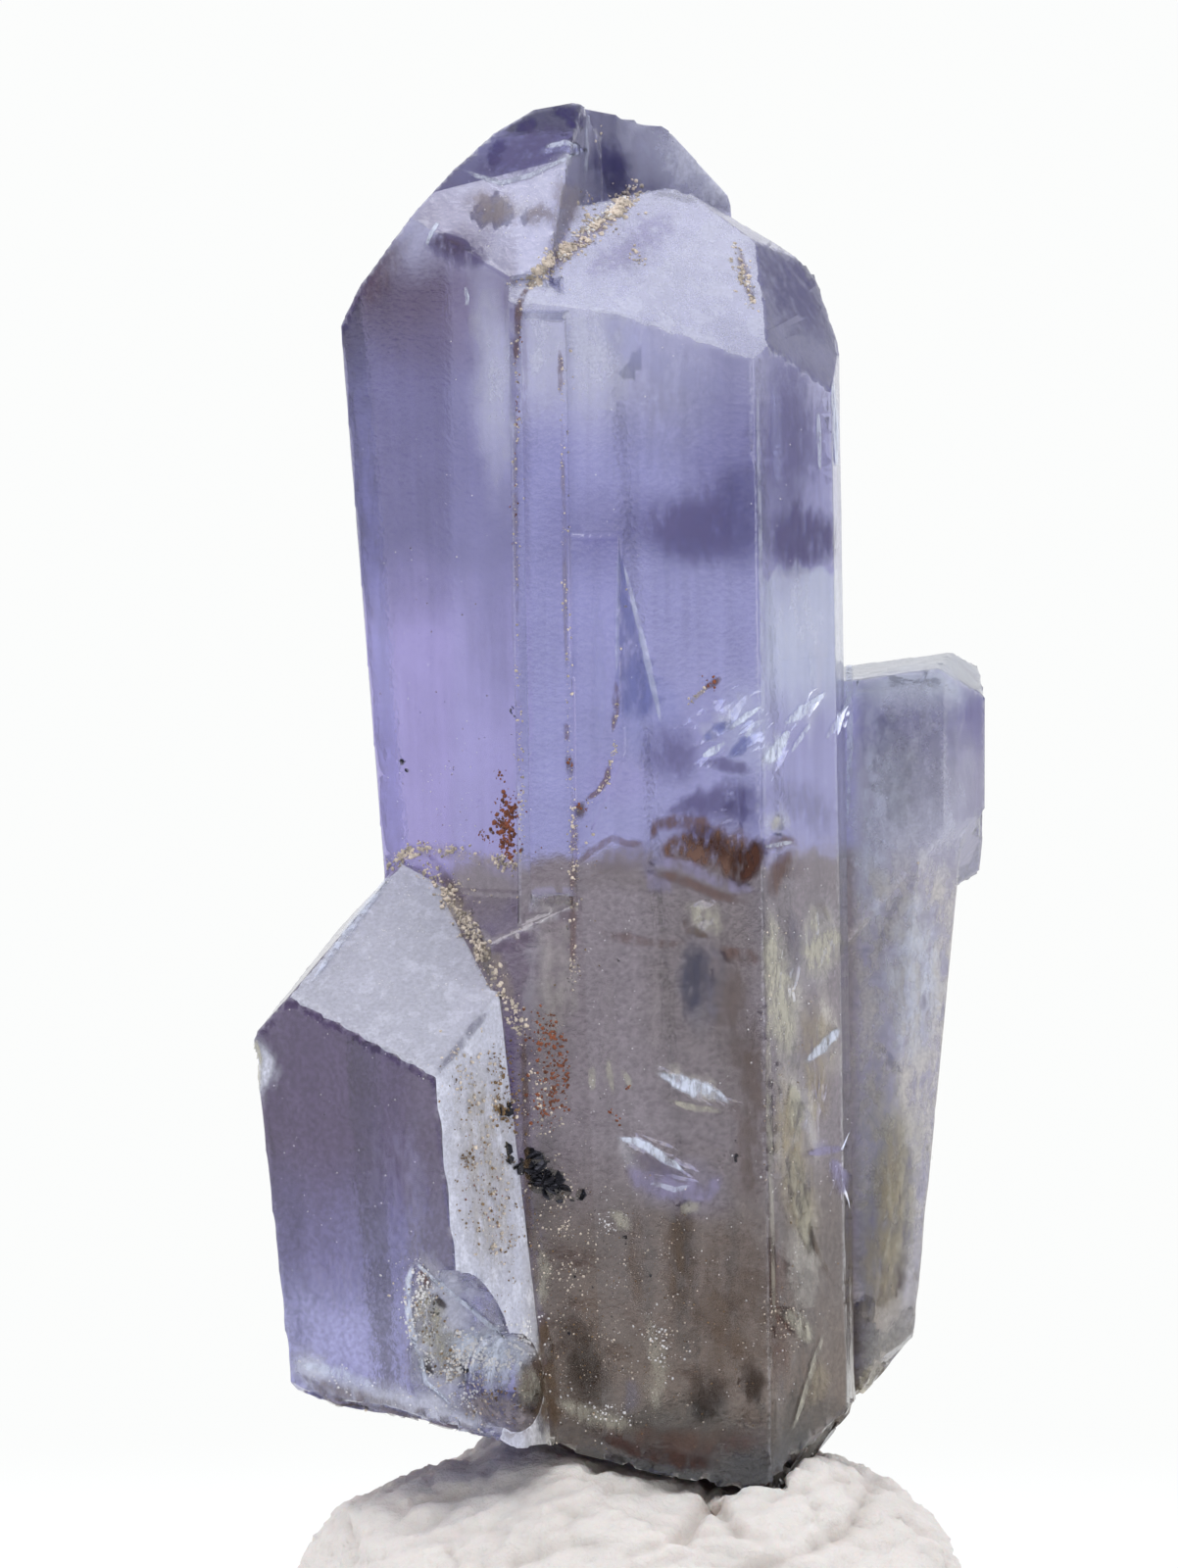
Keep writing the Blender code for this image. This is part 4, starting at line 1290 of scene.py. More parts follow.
def make_frosting():
    """A milky, sugary skin: lilac-white, but warmer low on the front crystal."""
    material, tree, shader = new_tree("Frosting")
    place = place_in_mm(tree)
    x = add_node(tree, "ShaderNodeSeparateXYZ", {0: place}).outputs[0]
    upper = mineral_height(tree, place)
    warm = maths(
        tree, "MULTIPLY", maths(tree, "SUBTRACT", 1.0, upper), map_range(tree, x, -1.6, -1.1)
    )
    sugar = use_group(tree, grain_group(), Scale=16.0, Contrast=3.0)
    colour = blend_colour(tree, warm, (0.80, 0.82, 0.97, 1.0), (0.86, 0.82, 0.76, 1.0))
    tree.links.new(colour, shader.inputs["Base Color"])
    shards = noise_at(tree, stretched(tree, place, 3.6, 1.9), 1.0, detail=3.0, roughness=0.6)
    torn = map_range(tree, shards, 0.38, 0.60, 0.25, 1.25)
    whole = map_range(tree, attribute(tree, "skin"), 0.25, 0.42, 0.6, 1.0)
    torn = maths(tree, "MAXIMUM", torn, maths(tree, "MULTIPLY", whole, maths(tree, "SUBTRACT", 1.0, warm)))
    cover = maths(tree, "MULTIPLY", map_range(tree, sugar.outputs["Mask"], 0.0, 1.0, 0.82, 1.20), torn)
    alpha = maths(tree, "MULTIPLY", attribute(tree, "skin"), cover, clamp=True)
    tree.links.new(alpha, shader.inputs["Alpha"])
    tree.links.new(
        map_range(tree, sugar.outputs["Mask"], 0.0, 1.0, 0.55, 0.30), shader.inputs["Roughness"]
    )
    bump = add_node(
        tree, "ShaderNodeBump", {"Strength": 0.5, "Distance": 0.006 * MM, "Height": sugar.outputs["Height"]}
    )
    tree.links.new(bump.outputs[0], shader.inputs["Normal"])
    return material


def mark_faces(shape):
    """Gives the crystal faces their frosting and their painted dark reflection and the breaks their roughness, and
    makes the layer that the edges' wear is kept in.
    """
    frost = shape.faces.layers.float.new("frost")
    deep = shape.faces.layers.float.new("deep")
    broken = shape.faces.layers.float.new("broken")
    thin = shape.faces.layers.float.new("thin")
    shape.verts.layers.float.new("worn")
    tree = BVHTree.FromBMesh(shape)
    for pixel, frosting, depth in FACE_FINISHES:
        found = land(tree, pixel)
        if found is None:
            raise RuntimeError(f"no crystal face is seen at pixel {pixel}")
        spot, normal = found
        for face in shape.faces:
            if face.normal.dot(normal) > 0.9998 and abs((face.verts[0].co - spot).dot(normal)) < 0.01:
                face[frost] = frosting
                # The face's painted dark reflection
                face[deep] = depth
    for face in shape.faces:
        area = face.calc_area()
        longest = max(edge.calc_length() for edge in face.edges)
        if area / longest < THIN_FACE_WIDTH:
            face[thin] = 1.0
        elif area < BREAK_FACE_AREA:
            face[broken] = 1.0
    SURFACE["clouds"] = [(land_or_stop(tree, cloud[0]), cloud) for cloud in CLOUDS]
    SURFACE["frostings"] = [(land_or_stop(tree, frosting[0]), frosting) for frosting in FROSTINGS]


def land_or_stop(tree, pixel):
    found = land(tree, pixel)
    if found is None:
        raise RuntimeError(f"no crystal is seen at pixel {pixel}")
    return found[0]


def paint_frosting(shape):
    """Gives each corner of the mesh its share of frosted skin, beside that of the frosted faces."""
    layer = shape.verts.layers.float.new("skin")
    broken = shape.faces.layers.float["broken"]
    tops = [
        (middle, wide, high, math.radians(turn), softness, strength)
        for middle, (_, wide, high, turn, softness, strength) in SURFACE["frostings"]
    ]
    for vert in shape.verts:
        place = vert.co + 0.14 * noise.noise_vector(vert.co * 1.8) + 0.14 * noise.noise_vector(vert.co * 4.6)
        bare = 1.0 - 0.3 * max(face[broken] for face in vert.link_faces)
        for middle, wide, high, turn, softness, strength in tops:
            bare *= 1.0 - strength * cloud_share(place, middle, wide, high, turn, softness)
        vert[layer] = 1.0 - bare


def closed_sheet(points, normals, faces):
    """A thin closed shell over an open sheet: two points for each given one, and its faces."""
    shell = []
    for point, normal in zip(points, normals):
        shell.append(point + normal * SKIN_THICKNESS / 2)
        shell.append(point - normal * SKIN_THICKNESS / 2)
    made = []
    rim = {}
    for face in faces:
        made.append(tuple(2 * index for index in face))
        made.append(tuple(2 * index + 1 for index in reversed(face)))
        for here, there in zip(face, face[1:] + face[:1]):
            if (there, here) in rim:
                del rim[(there, here)]
            else:
                rim[(here, there)] = True
    made += [(2 * there, 2 * here, 2 * here + 1, 2 * there + 1) for here, there in rim]
    return shell, made


def add_frosted_skin(shape):
    """The skin over the frosted faces, which end in a crisp edge, and over the frosted patches."""
    share = shape.verts.layers.float["skin"]
    frost = shape.faces.layers.float["frost"]
    points, normals, faces, cover = [], [], [], []
    numbers = {}
    for face in shape.faces:
        whole = face[frost] > FROSTED_FACE
        if not whole and max(vert[share] for vert in face.verts) < SKIN_LEAST:
            continue
        corners = []
        for vert in face.verts:
            if (vert, whole) not in numbers:
                numbers[(vert, whole)] = len(points)
                points.append(vert.co.copy())
                normals.append(vert.normal.copy())
                cover.append(1.0 - (1.0 - vert[share]) * (1.0 - face[frost] * FACE_FROSTING))
            corners.append(numbers[(vert, whole)])
        faces.append(tuple(corners))
    points, faces = closed_sheet(points, normals, faces)
    cover = [value for value in cover for _ in range(2)]
    add_array_piece("frosted_skin", points, faces, make_frosting(), 40, {"skin": cover})


def cloud_share(place, middle, wide, high, turn, softness):
    """How much a cloud covers a place, from 0 to 1."""
    away = place - middle
    reach = (1.0 + softness) * max(wide, high) * PIXEL
    if abs(away.x) > reach or abs(away.z) > reach:
        return 0.0
    sine, cosine = math.sin(turn), math.cos(turn)
    along = (away.x * cosine + away.z * sine) / (wide * PIXEL)
    upward = (away.z * cosine - away.x * sine) / (high * PIXEL)
    distance = math.sqrt(along * along + upward * upward + (away.y / PATCH_DEPTH) ** 2)
    return 1.0 - smooth_step(1.0 - softness, 1.0 + softness, distance)


def paint_clouds(shape):
    """Gives each corner of the mesh the colour and cover of the clouds that lie there."""
    colours = bpy.context.scene.crystal_settings
    layer = shape.verts.layers.float_color.new("clouds")
    clouds = [
        (middle, wide, high, math.radians(turn), softness, getattr(colours, name), strength)
        for middle, (_, wide, high, turn, softness, name, strength) in SURFACE["clouds"]
    ]
    for vert in shape.verts:
        place = vert.co + 0.20 * noise.noise_vector(vert.co * 0.9) + 0.10 * noise.noise_vector(vert.co * 3.1)
        colour, cover = Vector((0.0, 0.0, 0.0)), 0.0
        for middle, wide, high, turn, softness, cloud_colour, strength in clouds:
            share = strength * cloud_share(place, middle, wide, high, turn, softness)
            if share > 0.0:
                colour = colour * (1.0 - share) + Vector(cloud_colour) * share
                cover = cover * (1.0 - share) + share
        vert[layer] = (*colour, cover)


def etched_depth(point, normal):
    """How far the surface is eaten back at a point, from 0 to about 1."""
    if abs(normal.z) < 0.35:
        across = normal.cross(Vector((0.0, 0.0, 1.0))).dot(point)
        lines = noise.noise(Vector((across * 3.1, 7.3, point.z * 0.10)))
        steps = round(2.0 * noise.noise(Vector((across * 0.9, 1.7, point.z * 0.06)))) / 2.0
        depth = 0.5 + 0.5 * lines + 0.8 * steps
    else:
        contour = 3.0 * noise.noise(point * 0.9)
        depth = 0.5 + 0.5 * round(contour) / 3.0 + 0.3 * noise.noise(point * 3.0)
    low_down = smooth_step(13.0, 5.0, point.z)
    pits = max(0.0, noise.noise(point * 2.7))
    return max(0.0, depth) * (0.35 + 0.65 * low_down) + 1.8 * low_down * pits


def broken_depth(point):
    """How deep a broken surface is, in sharp shelves, from 0 to about 1."""
    shelves = 4.0 * noise.noise(point * 2.2)
    return 0.5 + 0.25 * round(shelves) / 2.0 + 1.2 * noise.voronoi(point * 2.6)[0][0]


def wear_edges(shape):
    """Rounds the crystals' outer edges a little and marks them. Growth ledges stay sharp."""
    worn = shape.verts.layers.float["worn"]
    thin = shape.faces.layers.float["thin"]
    sharp = [
        edge
        for edge in shape.edges
        if len(edge.link_faces) == 2
        and edge.is_convex
        and edge.calc_face_angle() > math.radians(17)
        and max(face[thin] for face in edge.link_faces) < 0.5
    ]
    rim = {vert for edge in sharp for vert in edge.verts}
    for vert in rim:
        vert[worn] = 1.0
    for _ in range(3):
        bmesh.ops.smooth_vert(
            shape, verts=list(rim), factor=0.5, use_axis_x=True, use_axis_y=True, use_axis_z=True
        )


def eat_back(shape, depth):
    """Moves the surface in by its etching, and further where it is broken."""
    broken = shape.faces.layers.float["broken"]
    moves = []
    for vert in shape.verts:
        eaten = etched_depth(vert.co, vert.normal)
        share = sum(face[broken] for face in vert.link_faces) / len(vert.link_faces)
        moves.append(vert.normal * (-depth * (0.2 + eaten + 6.0 * share * broken_depth(vert.co))))
    for vert, move in zip(shape.verts, moves):
        vert.co += move
    shape.normal_update()


def groove_edges(shape):
    """The inner corners where crystals meet, as (place, normal) with one for each small side."""
    grooves = []
    for edge in shape.edges:
        if len(edge.link_faces) != 2 or edge.is_convex:
            continue
        if edge.calc_face_angle() < math.radians(14):
            continue
        normal = (edge.link_faces[0].normal + edge.link_faces[1].normal).normalized()
        grooves.append(((edge.verts[0].co + edge.verts[1].co) / 2, normal))
    return grooves


def build_crystals():
    """The fine mesh of the whole group. Keeps the places that dust settles in."""
    given = bpy.context.scene.crystal_settings
    shape = mesh_in_mm("crystal_group")
    mark_faces(shape)
    cell = given.cell / MM * 1.0
    slice_up(shape, CRYSTAL_LOW, CRYSTAL_HIGH, (cell, cell, 1.6 * cell))
    shape.normal_update()
    grooves = groove_edges(shape)
    paint_clouds(shape)
    paint_frosting(shape)
    wear_edges(shape)
    shape.normal_update()
    eat_back(shape, given.etching / MM)
    add_frosted_skin(shape)
    tree = BVHTree.FromBMesh(shape)
    crystals = add_piece("tanzanite_crystals", shape, make_tanzanite(), sharp_angle=24)
    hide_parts("crystal_group")
    return tree, grooves


# Inside the crystals


def make_fracture_with_painted_glint():
    """Silvery white skin of an air-filled crack, with holes in it. Its glow is a painted glint: an emission, though the
    crack is no lamp.
    """
    material, tree, shader = new_tree("Fracture")
    grain = use_group(tree, grain_group(), Scale=3.4, Contrast=5.0)
    fine = use_group(tree, grain_group(), Scale=11.0, Contrast=3.0)
    shader.inputs["Base Color"].default_value = (0.86, 0.88, 0.97, 1.0)
    tree.links.new(
        map_range(tree, fine.outputs["Mask"], 0.0, 1.0, 0.08, 0.35), shader.inputs["Roughness"]
    )
    shader.inputs["IOR"].default_value = 1.8
    tree.links.new(
        map_range(tree, grain.outputs["Mask"], 0.30, 0.75, 0.0, 0.9), shader.inputs["Alpha"]
    )
    # Painted glint: the emission makes the crack glow, though it is no lamp
    tree.links.new(
        blend_colour(
            tree, fine.outputs["Mask"], (0.55, 0.60, 0.95, 1.0), (1.0, 1.0, 1.0, 1.0)
        ),
        shader.inputs["Emission Color"],
    )
    shader.inputs["Emission Strength"].default_value = 0.45
    bump = add_node(
        tree, "ShaderNodeBump", {"Strength": 0.8, "Distance": 0.02 * MM, "Height": fine.outputs["Height"]}
    )
    tree.links.new(bump.outputs[0], shader.inputs["Normal"])
    return material


def fracture_shape(centre, turn, length, height, seed, points, faces):
    """Adds a thin wavy sliver with pointed ends and an uneven rim."""
    rings, spokes, thickness = 4, 20, 0.008
    start = len(points)
    for side in (1.0, -1.0):
        for ring in range(rings + 1):
            for spoke in range(spokes):
                angle = 2.0 * math.pi * spoke / spokes
                share = ring / rings
                rim = 1.0 + 0.45 * noise.noise(Vector((math.cos(angle) * 2, math.sin(angle) * 2, seed)))
                flat = Vector((math.cos(angle) * length * 0.7, math.sin(angle) ** 3 * height * 0.35, 0.0))
                flat *= share * rim
                flat.y += 0.12 * length * noise.noise(Vector((flat.x * 3.0, seed, 1.7)))
                flat.z = 0.08 * noise.noise(Vector((flat.x * 2.0, flat.y * 2.0, seed + 3.3)))
                flat.z += side * thickness * (1.0 - share * share)
                points.append(centre + turn @ flat)
    layer = (rings + 1) * spokes
    for side in range(2):
        for ring in range(rings):
            for spoke in range(spokes):
                a = start + side * layer + ring * spokes + spoke
                b = start + side * layer + ring * spokes + (spoke + 1) % spokes
                quad = (a, b, b + spokes, a + spokes)
                faces.append(quad if side else quad[::-1])


def build_fractures():
    draw = random.Random(bpy.context.scene.studio_settings.seed + 3)
    points, faces = [], []
    for pixel, depth, length, height, roll, count, spread in FRACTURES:
        for _ in range(count):
            spot = (pixel[0] + draw.gauss(0, spread / 2), pixel[1] + draw.gauss(0, spread / 2))
            found = land(SURFACE["tree"], spot)
            if found is None:
                continue
            centre = found[0] + sight_line(spot) * depth * draw.uniform(0.6, 1.4)
            lean = math.radians(90 - draw.uniform(5, 35))
            turn = Euler((lean, math.radians(-roll + draw.gauss(0, 9)), 0.0)).to_matrix()
            size = draw.uniform(0.5, 1.1)
            fracture_shape(centre, turn, length * size, height * size, draw.uniform(0, 50), points, faces)
    add_array_piece("inner_fractures", points, faces, make_fracture_with_painted_glint(), 60)


def make_inclusion():
    """A ragged, slightly glossy body with the colour and cover kept at the mesh's points."""
    material, tree, shader = new_tree("Inclusion")
    place = place_in_mm(tree)
    tint = add_node(tree, "ShaderNodeAttribute", attribute_name="tint")
    shards = noise_at(tree, stretched(tree, place, 6.0, 2.4), 1.0, detail=3.0, roughness=0.7)
    mottle = map_range(tree, shards, 0.35, 0.65, 0.82, 1.22)
    colour = add_node(tree, "ShaderNodeVectorMath", {0: tint.outputs["Color"], 3: mottle}, operation="SCALE")
    tree.links.new(colour.outputs[0], shader.inputs["Base Color"])
    patchy = maths(tree, "MULTIPLY", attribute(tree, "cover"), map_range(tree, shards, 0.36, 0.62, 0.15, 1.35))
    alpha = maths(tree, "MULTIPLY", maths(tree, "MINIMUM", patchy, 1.0), tint.outputs["Alpha"])
    tree.links.new(alpha, shader.inputs["Alpha"])
    tree.links.new(map_range(tree, shards, 0.3, 0.7, 0.28, 0.50), shader.inputs["Roughness"])
    shader.inputs["Specular IOR Level"].default_value = 0.25
    return material


def inclusion_rows(path):
    """The cross-sections of a path of (x, y, half width): (x, y, across x, across y, half width)."""
    rows = []
    for here, there in zip(path, path[1:]):
        length = math.hypot(there[0] - here[0], there[1] - here[1])
        steps = max(2, math.ceil(length / INCLUSION_STEP))
        across = ((there[1] - here[1]) / length, (here[0] - there[0]) / length)
        for step in range(steps):
            share = step / steps
            middle = [a + (b - a) * share for a, b in zip(here, there)]
            rows.append((middle[0], middle[1], *across, middle[2]))
    rows.append((path[-1][0], path[-1][1], *rows[-1][2:4], path[-1][2]))
    smooth = []
    for number, row in enumerate(rows):
        near = rows[max(0, number - 2) : number + 3]
        smooth.append((*row[:2], *(sum(other[i] for other in near) / len(near) for i in (2, 3, 4))))
    return smooth


def lay_inclusion(path, softness, tint, seed, sheet):
    """Adds one inclusion to the sheet's points, normals, faces, covers and tints."""
    points, normals, faces, covers, tints = sheet
    rows = inclusion_rows(path)
    numbers = []
    lift = SKIN_THICKNESS * 1.5 + 0.0002 * seed
    for number, (x, y, across_x, across_y, half) in enumerate(rows):
        to_end = min(number, len(rows) - 1 - number) * INCLUSION_STEP
        end = max(0.0, 1.0 - to_end / (1.0 + half + softness * 0.25 * INCLUSION_STEP * len(rows)))
        row = []
        for across in INCLUSION_ACROSS:
            wave = 1.0 + 0.5 * noise.noise(Vector((number * 0.4, math.copysign(3.0, across), seed)))
            reach = across * half * wave * (1.1 + 0.6 * softness) + (across > 0) * 0.4 - (across < 0) * 0.4
            found = land(SURFACE["tree"], (x + across_x * reach, y + across_y * reach))
            if found is None:
                row.append(None)
                continue
            row.append(len(points))
            points.append(found[0] + found[1] * lift)
            normals.append(found[1])
            covers.append(1.0 - smooth_step(0.75 - 0.7 * softness, 1.0, math.hypot(across, end)))
            tints.append(tint)
        numbers.append(row)
    for row, after in zip(numbers, numbers[1:]):
        for column in range(len(INCLUSION_ACROSS) - 1):
            face = (row[column], after[column], after[column + 1], row[column + 1])
            if None in face or max(covers[index] for index in face) < INCLUSION_LEAST:
                continue
            if (points[face[0]] - points[face[2]]).length > INCLUSION_REACH:
                continue
            side = (points[face[2]] - points[face[0]]).cross(points[face[3]] - points[face[1]])
            faces.append(face if side.dot(normals[face[0]]) > 0.0 else face[::-1])


def build_inclusions():
    colours = bpy.context.scene.inclusion_settings
    sheet = ([], [], [], [], [])
    for number, (name, strength, softness, path) in enumerate(INCLUSIONS):
        each_side = 1.0 - math.sqrt(1.0 - strength)
        lay_inclusion(path, softness, (*getattr(colours, name), each_side), 1.0 * number, sheet)
    points, normals, faces, covers, tints = sheet
    points, faces = closed_sheet(points, normals, faces)
    SURFACE["sheets"] = BVHTree.FromPolygons(points, faces)
    values = {
        "cover": [value for value in covers for _ in range(2)],
        "tint": [tint for tint in tints for _ in range(2)],
    }
    add_array_piece("inclusions", points, faces, make_inclusion(), 60, values)


# Grains on the crystals


def make_mineral(name, colour, roughness, metallic, variation):
    """An opaque grain's material, with mottled colour and a gritty surface."""
    material, tree, shader = new_tree(name)
    mottle = use_group(tree, grain_group(), Scale=7.0, Contrast=3.0)
    grit = use_group(tree, grain_group(), Scale=30.0, Contrast=2.0)
    dark = tuple(part * (1.0 - variation) for part in colour)
    light = tuple(min(1.0, part * (1.0 + variation)) for part in colour)
    mixed = blend_colour(tree, mottle.outputs["Mask"], (*dark, 1.0), (*light, 1.0))
    tree.links.new(mixed, shader.inputs["Base Color"])
    tree.links.new(
        map_range(tree, grit.outputs["Mask"], 0.0, 1.0, roughness * 0.8, min(1.0, roughness * 1.2)),
        shader.inputs["Roughness"],
    )
    shader.inputs["Metallic"].default_value = metallic
    bump = add_node(
        tree, "ShaderNodeBump", {"Strength": 0.5, "Distance": 0.004 * MM, "Height": grit.outputs["Height"]}
    )
    tree.links.new(bump.outputs[0], shader.inputs["Normal"])
    return material


def ball_corners():
    """The corners and faces of a twenty-sided ball of radius 1."""
    shape = bmesh.new()
    bmesh.ops.create_icosphere(shape, subdivisions=1, radius=1.0)
    corners = [vert.co.copy() for vert in shape.verts]
    faces = [tuple(vert.index for vert in face.verts) for face in shape.faces]
    shape.free()
    return corners, faces


def plate_corners():
    """The corners and faces of a thin six-sided plate of radius 1."""
    corners = []
    for level, radius in ((-0.12, 0.94), (0.0, 1.0), (0.12, 0.90)):
        for side in range(6):
            angle = math.pi * side / 3
            corners.append(Vector((math.cos(angle) * radius, math.sin(angle) * radius, level)))
    faces = [tuple(range(6))[::-1], tuple(range(12, 18))]
    for ring in (0, 6):
        for side in range(6):
            after = (side + 1) % 6
            faces.append((ring + side, ring + after, ring + 6 + after, ring + 6 + side))
    return corners, faces


def scatter(spots, base, draw, flatten, tilt):
    """Copies of a base shape at (place, normal, size), each turned and stretched a little."""
    corners, base_faces = base
    points, faces = [], []
    for place, normal, size in spots:
        lay = normal.to_track_quat("Z", "Y").to_matrix()
        sway = Euler([draw.uniform(-tilt, tilt), draw.uniform(-tilt, tilt), draw.uniform(0, 6.283)])
        stretch = Matrix.Diagonal(
            (draw.uniform(0.7, 1.2), draw.uniform(0.6, 1.1), draw.uniform(*flatten))
        )
        turn = lay @ sway.to_matrix() @ stretch
        start = len(points)
        for corner in corners:
            jitter = 1.0 + draw.uniform(-0.18, 0.18)
            points.append(place + turn @ corner * (size * jitter))
        faces.extend(tuple(start + index for index in face) for face in base_faces)
    return points, faces


def spots_on_paths(paths, draw, density, clumping):
    """Places on the crystals behind pixels scattered along paths, in clumps of uneven size."""
    spots = []
    for path, spread, count, size in paths:
        for _ in range(int(count * density)):
            share = draw.uniform(0.0, len(path) - 1.001)
            start, end = path[int(share)], path[int(share) + 1]
            part = share - int(share)
            pixel = (
                start[0] + (end[0] - start[0]) * part + draw.gauss(0.0, spread / 2),
                start[1] + (end[1] - start[1]) * part + draw.gauss(0.0, spread / 2),
            )
            found = land(SURFACE["tree"], pixel)
            if found is None:
                continue
            over = land(SURFACE["sheets"], pixel)
            if over is not None and (over[0] - found[0]).length < ON_SURFACE:
                found = (over[0], found[1])
            clump = noise.noise(found[0] * 2.3) + 0.6 * noise.noise(found[0] * 7.0)
            if draw.random() < clumping * smooth_step(0.25, -0.25, clump):
                continue
            grain = size * (0.3 + 1.1 * draw.random() ** 2)
            spots.append((found[0] - found[1] * grain * 0.2, found[1], grain))
    return spots


def spots_in_grooves(draw, density):
    """Places along the inner corners where crystals meet, seen from any side."""
    spots = []
    for place, normal in SURFACE["grooves"]:
        patch = noise.noise(place * 0.8)
        if draw.random() > density * smooth_step(-0.2, 0.6, patch):
            continue
        grain = draw.uniform(0.010, 0.034)
        jitter = Vector((draw.gauss(0, 0.05), draw.gauss(0, 0.05), draw.gauss(0, 0.05)))
        found = SURFACE["tree"].find_nearest(place + normal * 0.05 + jitter)
        spots.append((found[0] - found[1] * grain * 0.2, found[1], grain))
    return spots


def build_dust():
    given = bpy.context.scene.dust_settings
    draw = random.Random(bpy.context.scene.studio_settings.seed)
    spots = spots_on_paths(DUST_PATHS, draw, given.density, 0.8)
    spots += spots_in_grooves(draw, given.density * 0.5)
    points, faces = scatter(spots, ball_corners(), draw, (0.5, 0.9), 0.6)
    material = make_mineral("Clay dust", given.dust_colour, 0.85, 0.0, 0.45)
    add_array_piece("clay_dust", points, faces, material)


def build_white_grains():
    given = bpy.context.scene.dust_settings
    draw = random.Random(bpy.context.scene.studio_settings.seed + 4)
    spots = spots_on_paths(WHITE_PATHS, draw, given.density, 0.9)
    points, faces = scatter(spots, ball_corners(), draw, (0.5, 0.9), 0.6)
    material = make_mineral("White grains", given.white_colour, 0.45, 0.0, 0.15)
    add_array_piece("white_grains", points, faces, material)


def build_earth():
    given = bpy.context.scene.dust_settings
    draw = random.Random(bpy.context.scene.studio_settings.seed + 5)
    spots = spots_on_paths(EARTH_PATHS, draw, given.density, 0.5)
    points, faces = scatter(spots, ball_corners(), draw, (0.3, 0.6), 0.6)
    material = make_mineral("Earth", given.earth_colour, 0.8, 0.0, 0.6)
    add_array_piece("earth_specks", points, faces, material)


def build_rust():
    given = bpy.context.scene.dust_settings
    draw = random.Random(bpy.context.scene.studio_settings.seed + 1)
    spots = spots_on_paths(RUST_PATHS, draw, given.density, 0.3)
    points, faces = scatter(spots, ball_corners(), draw, (0.4, 0.8), 0.6)
    material = make_mineral("Iron oxide", given.rust_colour, 0.7, 0.0, 0.5)
    add_array_piece("rust_grains", points, faces, material)


def build_graphite():
    given = bpy.context.scene.dust_settings
    draw = random.Random(bpy.context.scene.studio_settings.seed + 2)
    spots = spots_on_paths(GRAPHITE_PATHS, draw, given.density, 0.0)
    points, faces = scatter(spots, plate_corners(), draw, (0.6, 1.2), 0.9)
    material = make_mineral("Graphite", given.graphite_colour, 0.28, 0.75, 0.35)
    add_array_piece("graphite_flakes", points, faces, material)


# The putty


def make_putty():
    """Matt off-white putty with faint grey and warm patches, and painted shade in its folds and dents."""
    given = bpy.context.scene.putty_settings
    material, tree, shader = new_tree("Putty")
    broad = use_group(tree, grain_group(), Scale=0.55, Contrast=2.2)
    fine = use_group(tree, grain_group(), Scale=9.0, Contrast=2.0)
    grit = use_group(tree, grain_group(), Scale=26.0, Contrast=6.0)
    colour = tuple(given.colour)
    cool = tuple(part * 0.90 for part in colour)
    mixed = blend_colour(tree, broad.outputs["Mask"], (*cool, 1.0), (*colour, 1.0))
    mixed = blend_colour(
        tree, map_range(tree, fine.outputs["Mask"], 0.6, 1.0, 0.0, 0.25), mixed, (0.74, 0.67, 0.62, 1.0)
    )
    # Painted shade: the putty is darker where its folds and dents press in
    painted_crease_shade = map_range(tree, attribute(tree, "pressed"), 0.03, 0.18, 0.0, 0.55)
    mixed = blend_colour(tree, painted_crease_shade, mixed, (0.50, 0.43, 0.39, 1.0))
    tree.links.new(mixed, shader.inputs["Base Color"])
    tree.links.new(
        map_range(tree, fine.outputs["Mask"], 0.0, 1.0, 0.62, 0.85), shader.inputs["Roughness"]
    )
    soft = add_node(
        tree, "ShaderNodeBump", {"Strength": 0.8, "Distance": 0.05 * MM, "Height": fine.outputs["Height"]}
    )
    sandy = add_node(
        tree,
        "ShaderNodeBump",
        {
            "Strength": 0.5,
            "Distance": 0.006 * MM,
            "Height": grit.outputs["Height"],
            "Normal": soft.outputs[0],
        },
    )
    tree.links.new(sandy.outputs[0], shader.inputs["Normal"])
    shader.inputs["Subsurface Weight"].default_value = 0.15
    shader.inputs["Subsurface Scale"].default_value = 0.4 * MM
    return material


def voxel_copy(node, cell):
    """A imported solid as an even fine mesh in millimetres."""
    shape = mesh_in_mm(node)
    mesh = bpy.data.meshes.new("voxel_source")
    shape.to_mesh(mesh)
    shape.free()
    source = bpy.data.objects.new("voxel_source", mesh)
    bpy.context.scene.collection.objects.link(source)
    remesh = source.modifiers.new("Remesh", "REMESH")
    remesh.mode = "VOXEL"
    remesh.voxel_size = cell
    bpy.context.view_layer.update()
    evaluated = source.evaluated_get(bpy.context.evaluated_depsgraph_get())
    fine = bmesh.new()
    fine.from_mesh(evaluated.to_mesh())
    evaluated.to_mesh_clear()
    bpy.data.objects.remove(source)
    return fine


def kneaded_depth(point):
    """How far the putty's surface is pressed in at a point, from 0 to about 1."""
    pulled = Vector((point.x * 0.55, point.y * 0.9, point.z * 1.5))
    drift = 0.8 * noise.noise_vector(point * 0.5)
    folds = abs(noise.noise(pulled * 0.8 + drift))
    creases = abs(noise.noise(pulled * 2.1 + drift))
    wrinkles = noise.fractal(point * 2.6, 0.7, 2.1, 5)
    return 1.3 * max(0.0, 0.30 - folds) * 2.0 + 0.5 * max(0.0, 0.22 - creases) * 4.0 + 0.50 * (0.5 + wrinkles)


